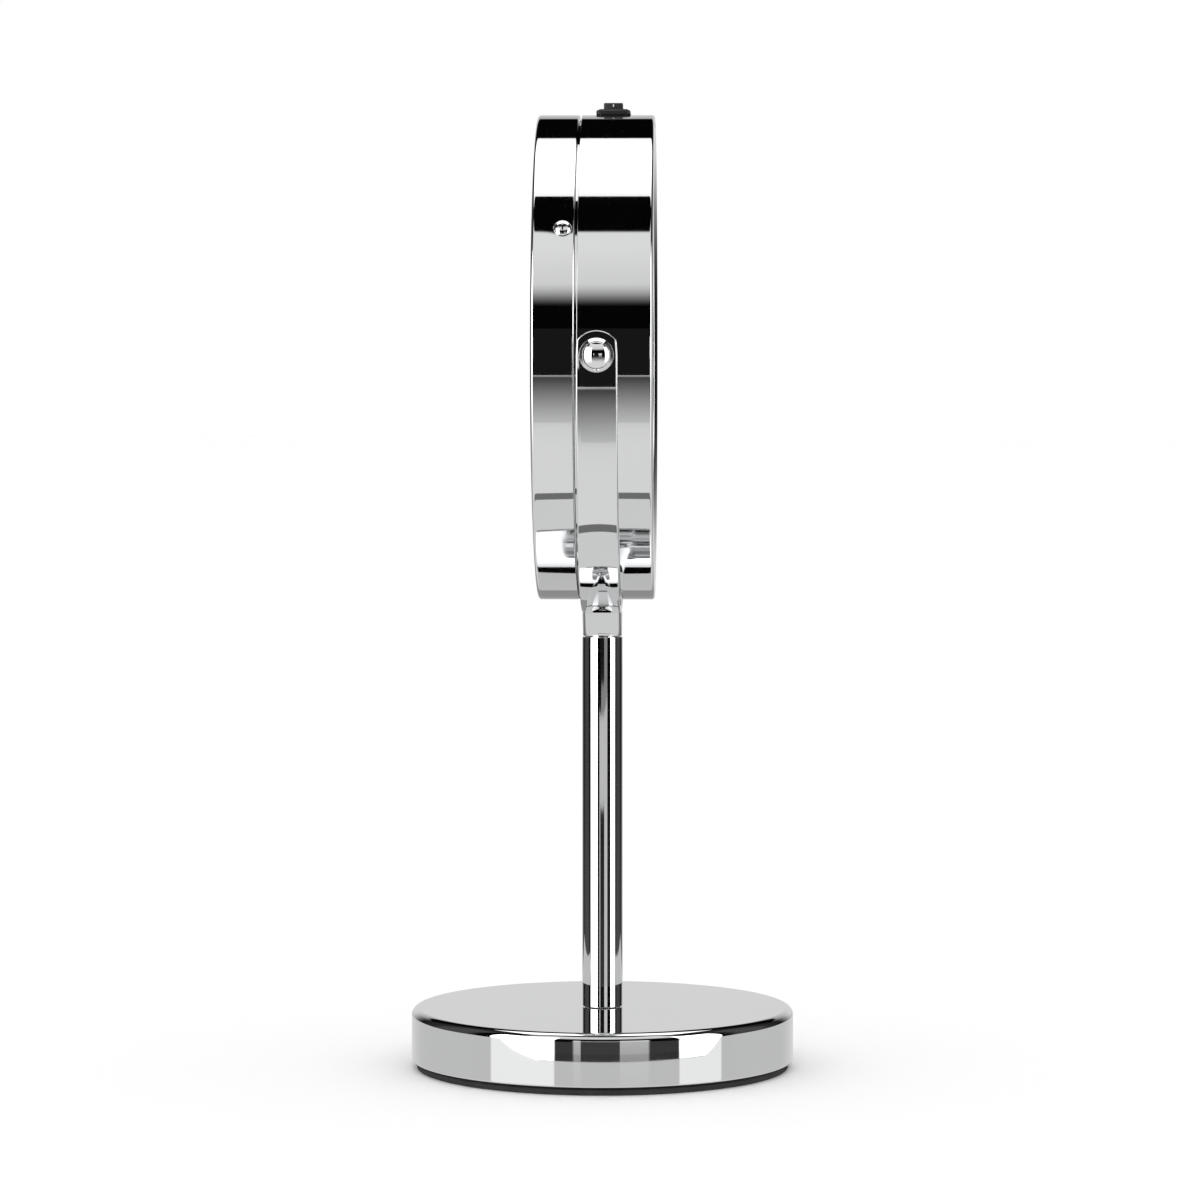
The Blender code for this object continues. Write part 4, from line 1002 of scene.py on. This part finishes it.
def make_softbox():
    """The overhead softbox, seen in reflections: weaker along its near and far edges."""
    corners = [(TOP_NEAR, -TOP_HALF), (TOP_FAR, -TOP_HALF), (TOP_FAR, TOP_HALF), (TOP_NEAR, TOP_HALF)]
    box = flat_panel("overhead_softbox", [(x, y, TOP_HEIGHT) for x, y in corners])
    material = glowing_gloss("softbox_cloth", 1.0, 0.9, 1.0, 0.0)
    tree = material.node_tree
    place = tree.nodes.new("ShaderNodeTexCoord")
    split = tree.nodes.new("ShaderNodeSeparateXYZ")
    curve = tree.nodes.new("ShaderNodeFloatCurve")
    span = tree.nodes.new("ShaderNodeMapRange")
    span.inputs["From Min"].default_value = TOP_NEAR
    span.inputs["From Max"].default_value = TOP_FAR
    points = curve.mapping.curves[0].points
    points[0].location = TOP_LEVELS[0]
    points[1].location = TOP_LEVELS[-1]
    for at, level in TOP_LEVELS[1:-1]:
        points.new(at, level)
    curve.mapping.update()
    double = tree.nodes.new("ShaderNodeMath")
    double.operation = "MULTIPLY"
    double.inputs[1].default_value = 2.0
    glow = next(node for node in tree.nodes if node.type == "EMISSION")
    tree.links.new(place.outputs["Object"], split.inputs[0])
    tree.links.new(split.outputs["X"], span.inputs["Value"])
    tree.links.new(span.outputs[0], curve.inputs["Value"])
    tree.links.new(curve.outputs[0], double.inputs[0])
    tree.links.new(double.outputs[0], glow.inputs["Strength"])
    box.data.materials.append(material)
    return box


def make_floor():
    """A plain white floor for the camera, and the glossy sheets that only reflections see."""
    ground = floor_panel("floor", -30, 30, 30, 0)
    paper = moulded("white_floor", (0.93, 0.93, 0.93), 0.9, 0.5 * MM, 0.0, 0.0, 0.998)
    ground.data.materials.append(paper)
    ground.visible_glossy = False
    table = floor_panel("table_gloss", FLOOR_FRONT, FLOOR_BACK, FLOOR_HALF, -0.4 * MM)
    table.data.materials.append(glowing_gloss("table_gloss", 0.80, 0.25, 0.95, 1.0))
    front = arc((0, 0), -SHEET_FRONT, *SHEET_ARC, SHEET_ARC_STEPS)
    rim = [(-0.10, SHEET_HALF), *front, (-0.06, -SHEET_HALF)]
    rim += [(SHEET_BACK, -SHEET_HALF), (SHEET_BACK, SHEET_HALF)]
    sheet = flat_panel("sheet_gloss", [(x, y, -0.2 * MM) for x, y in rim])
    sheet.data.materials.append(glowing_gloss("sheet_gloss", 0.72, 0.55, 0.85, 0.16))
    # A dark band along the sheet's front edge: the sheet's real edge, darkened with painted shadow in the gap
    # along it.
    outer = arc((0, 0), SHEET_EDGE_SHADOW - SHEET_FRONT, *SHEET_ARC, SHEET_ARC_STEPS)
    edge = flat_panel("sheet_edge_shadow", [(x, y, -0.1 * MM) for x, y in [*outer, *reversed(front)]])
    edge.data.materials.append(glowing_gloss("sheet_edge_shadow", 0.18, 0.7, 0.85, 0.8))
    shade = floor_panel("sheet_shade", SHADE_FRONT, SHEET_BACK, SHADE_HALF, -0.05 * MM)
    shade.data.materials.append(glowing_gloss("sheet_shade", 0.58, 0.9, 1.0, 0.0))
    # The floor beyond the sheet glows only dimly: painted shadow that the object casts behind it, as
    # reflections see it.
    beyond = floor_panel("floor_beyond_painted_shadow", SHEET_BACK, FLOOR_BACK, FLOOR_HALF, -0.1 * MM)
    beyond.data.materials.append(glowing_gloss("floor_beyond_painted_shadow", 0.30, 0.6, 0.95, 1.0))
    foot = [Vector((*p, -0.02 * MM)) for p in arc((0, 0), FOOT_SHADOW, 0, 360, 96)[:-1]]
    foot = flat_panel("foot_shadow", foot)
    foot.data.materials.append(glowing_gloss("foot_shadow", 0.02, 0.9, 1.0, 0.0))
    corners = [(-FLAG_HALF, FLAG_LOW), (FLAG_HALF, FLAG_LOW), (FLAG_HALF, FLAG_HIGH), (-FLAG_HALF, FLAG_HIGH)]
    flag = flat_panel("camera_flag", [(FLAG_X, y, z) for y, z in corners])
    flag.data.materials.append(glowing_gloss("flag_cloth", 0.01, 0.9, 1.0, 0.0))
    for obj in (table, sheet, edge, shade, beyond, foot, flag, make_softbox()):
        reflections_only(obj)


def make_camera():
    data = bpy.data.cameras.new("camera")
    data.lens = CAMERA_LENS
    data.sensor_width = SENSOR
    data.clip_start, data.clip_end = 0.05, 100
    obj = bpy.data.objects.new("camera", data)
    bpy.context.scene.collection.objects.link(obj)
    obj.location = CAMERA_AT
    ahead = math.cos(CAMERA_TILT)
    direction = Vector((math.cos(CAMERA_TURN) * ahead, math.sin(CAMERA_TURN) * ahead, math.sin(CAMERA_TILT)))
    obj.rotation_euler = direction.to_track_quat("-Z", "Y").to_euler()
    bpy.context.scene.camera = obj


paint_frame()
make_base()
make_tube("outer_tube", "stem_tube", TUBE_WALL, "stand")
make_tube("sliding_tube", "inner_tube", INNER_WALL, "inner_stem")
make_strip()
make_collar()
make_housing()
make_ring()
make_lock_screw()
make_glass_and_bezel()
for pivot_side in (-1, 1):
    make_pivot(pivot_side)
make_switch()
make_world()
make_floor()
make_camera()
bpy.context.scene.view_settings.view_transform = "Standard"
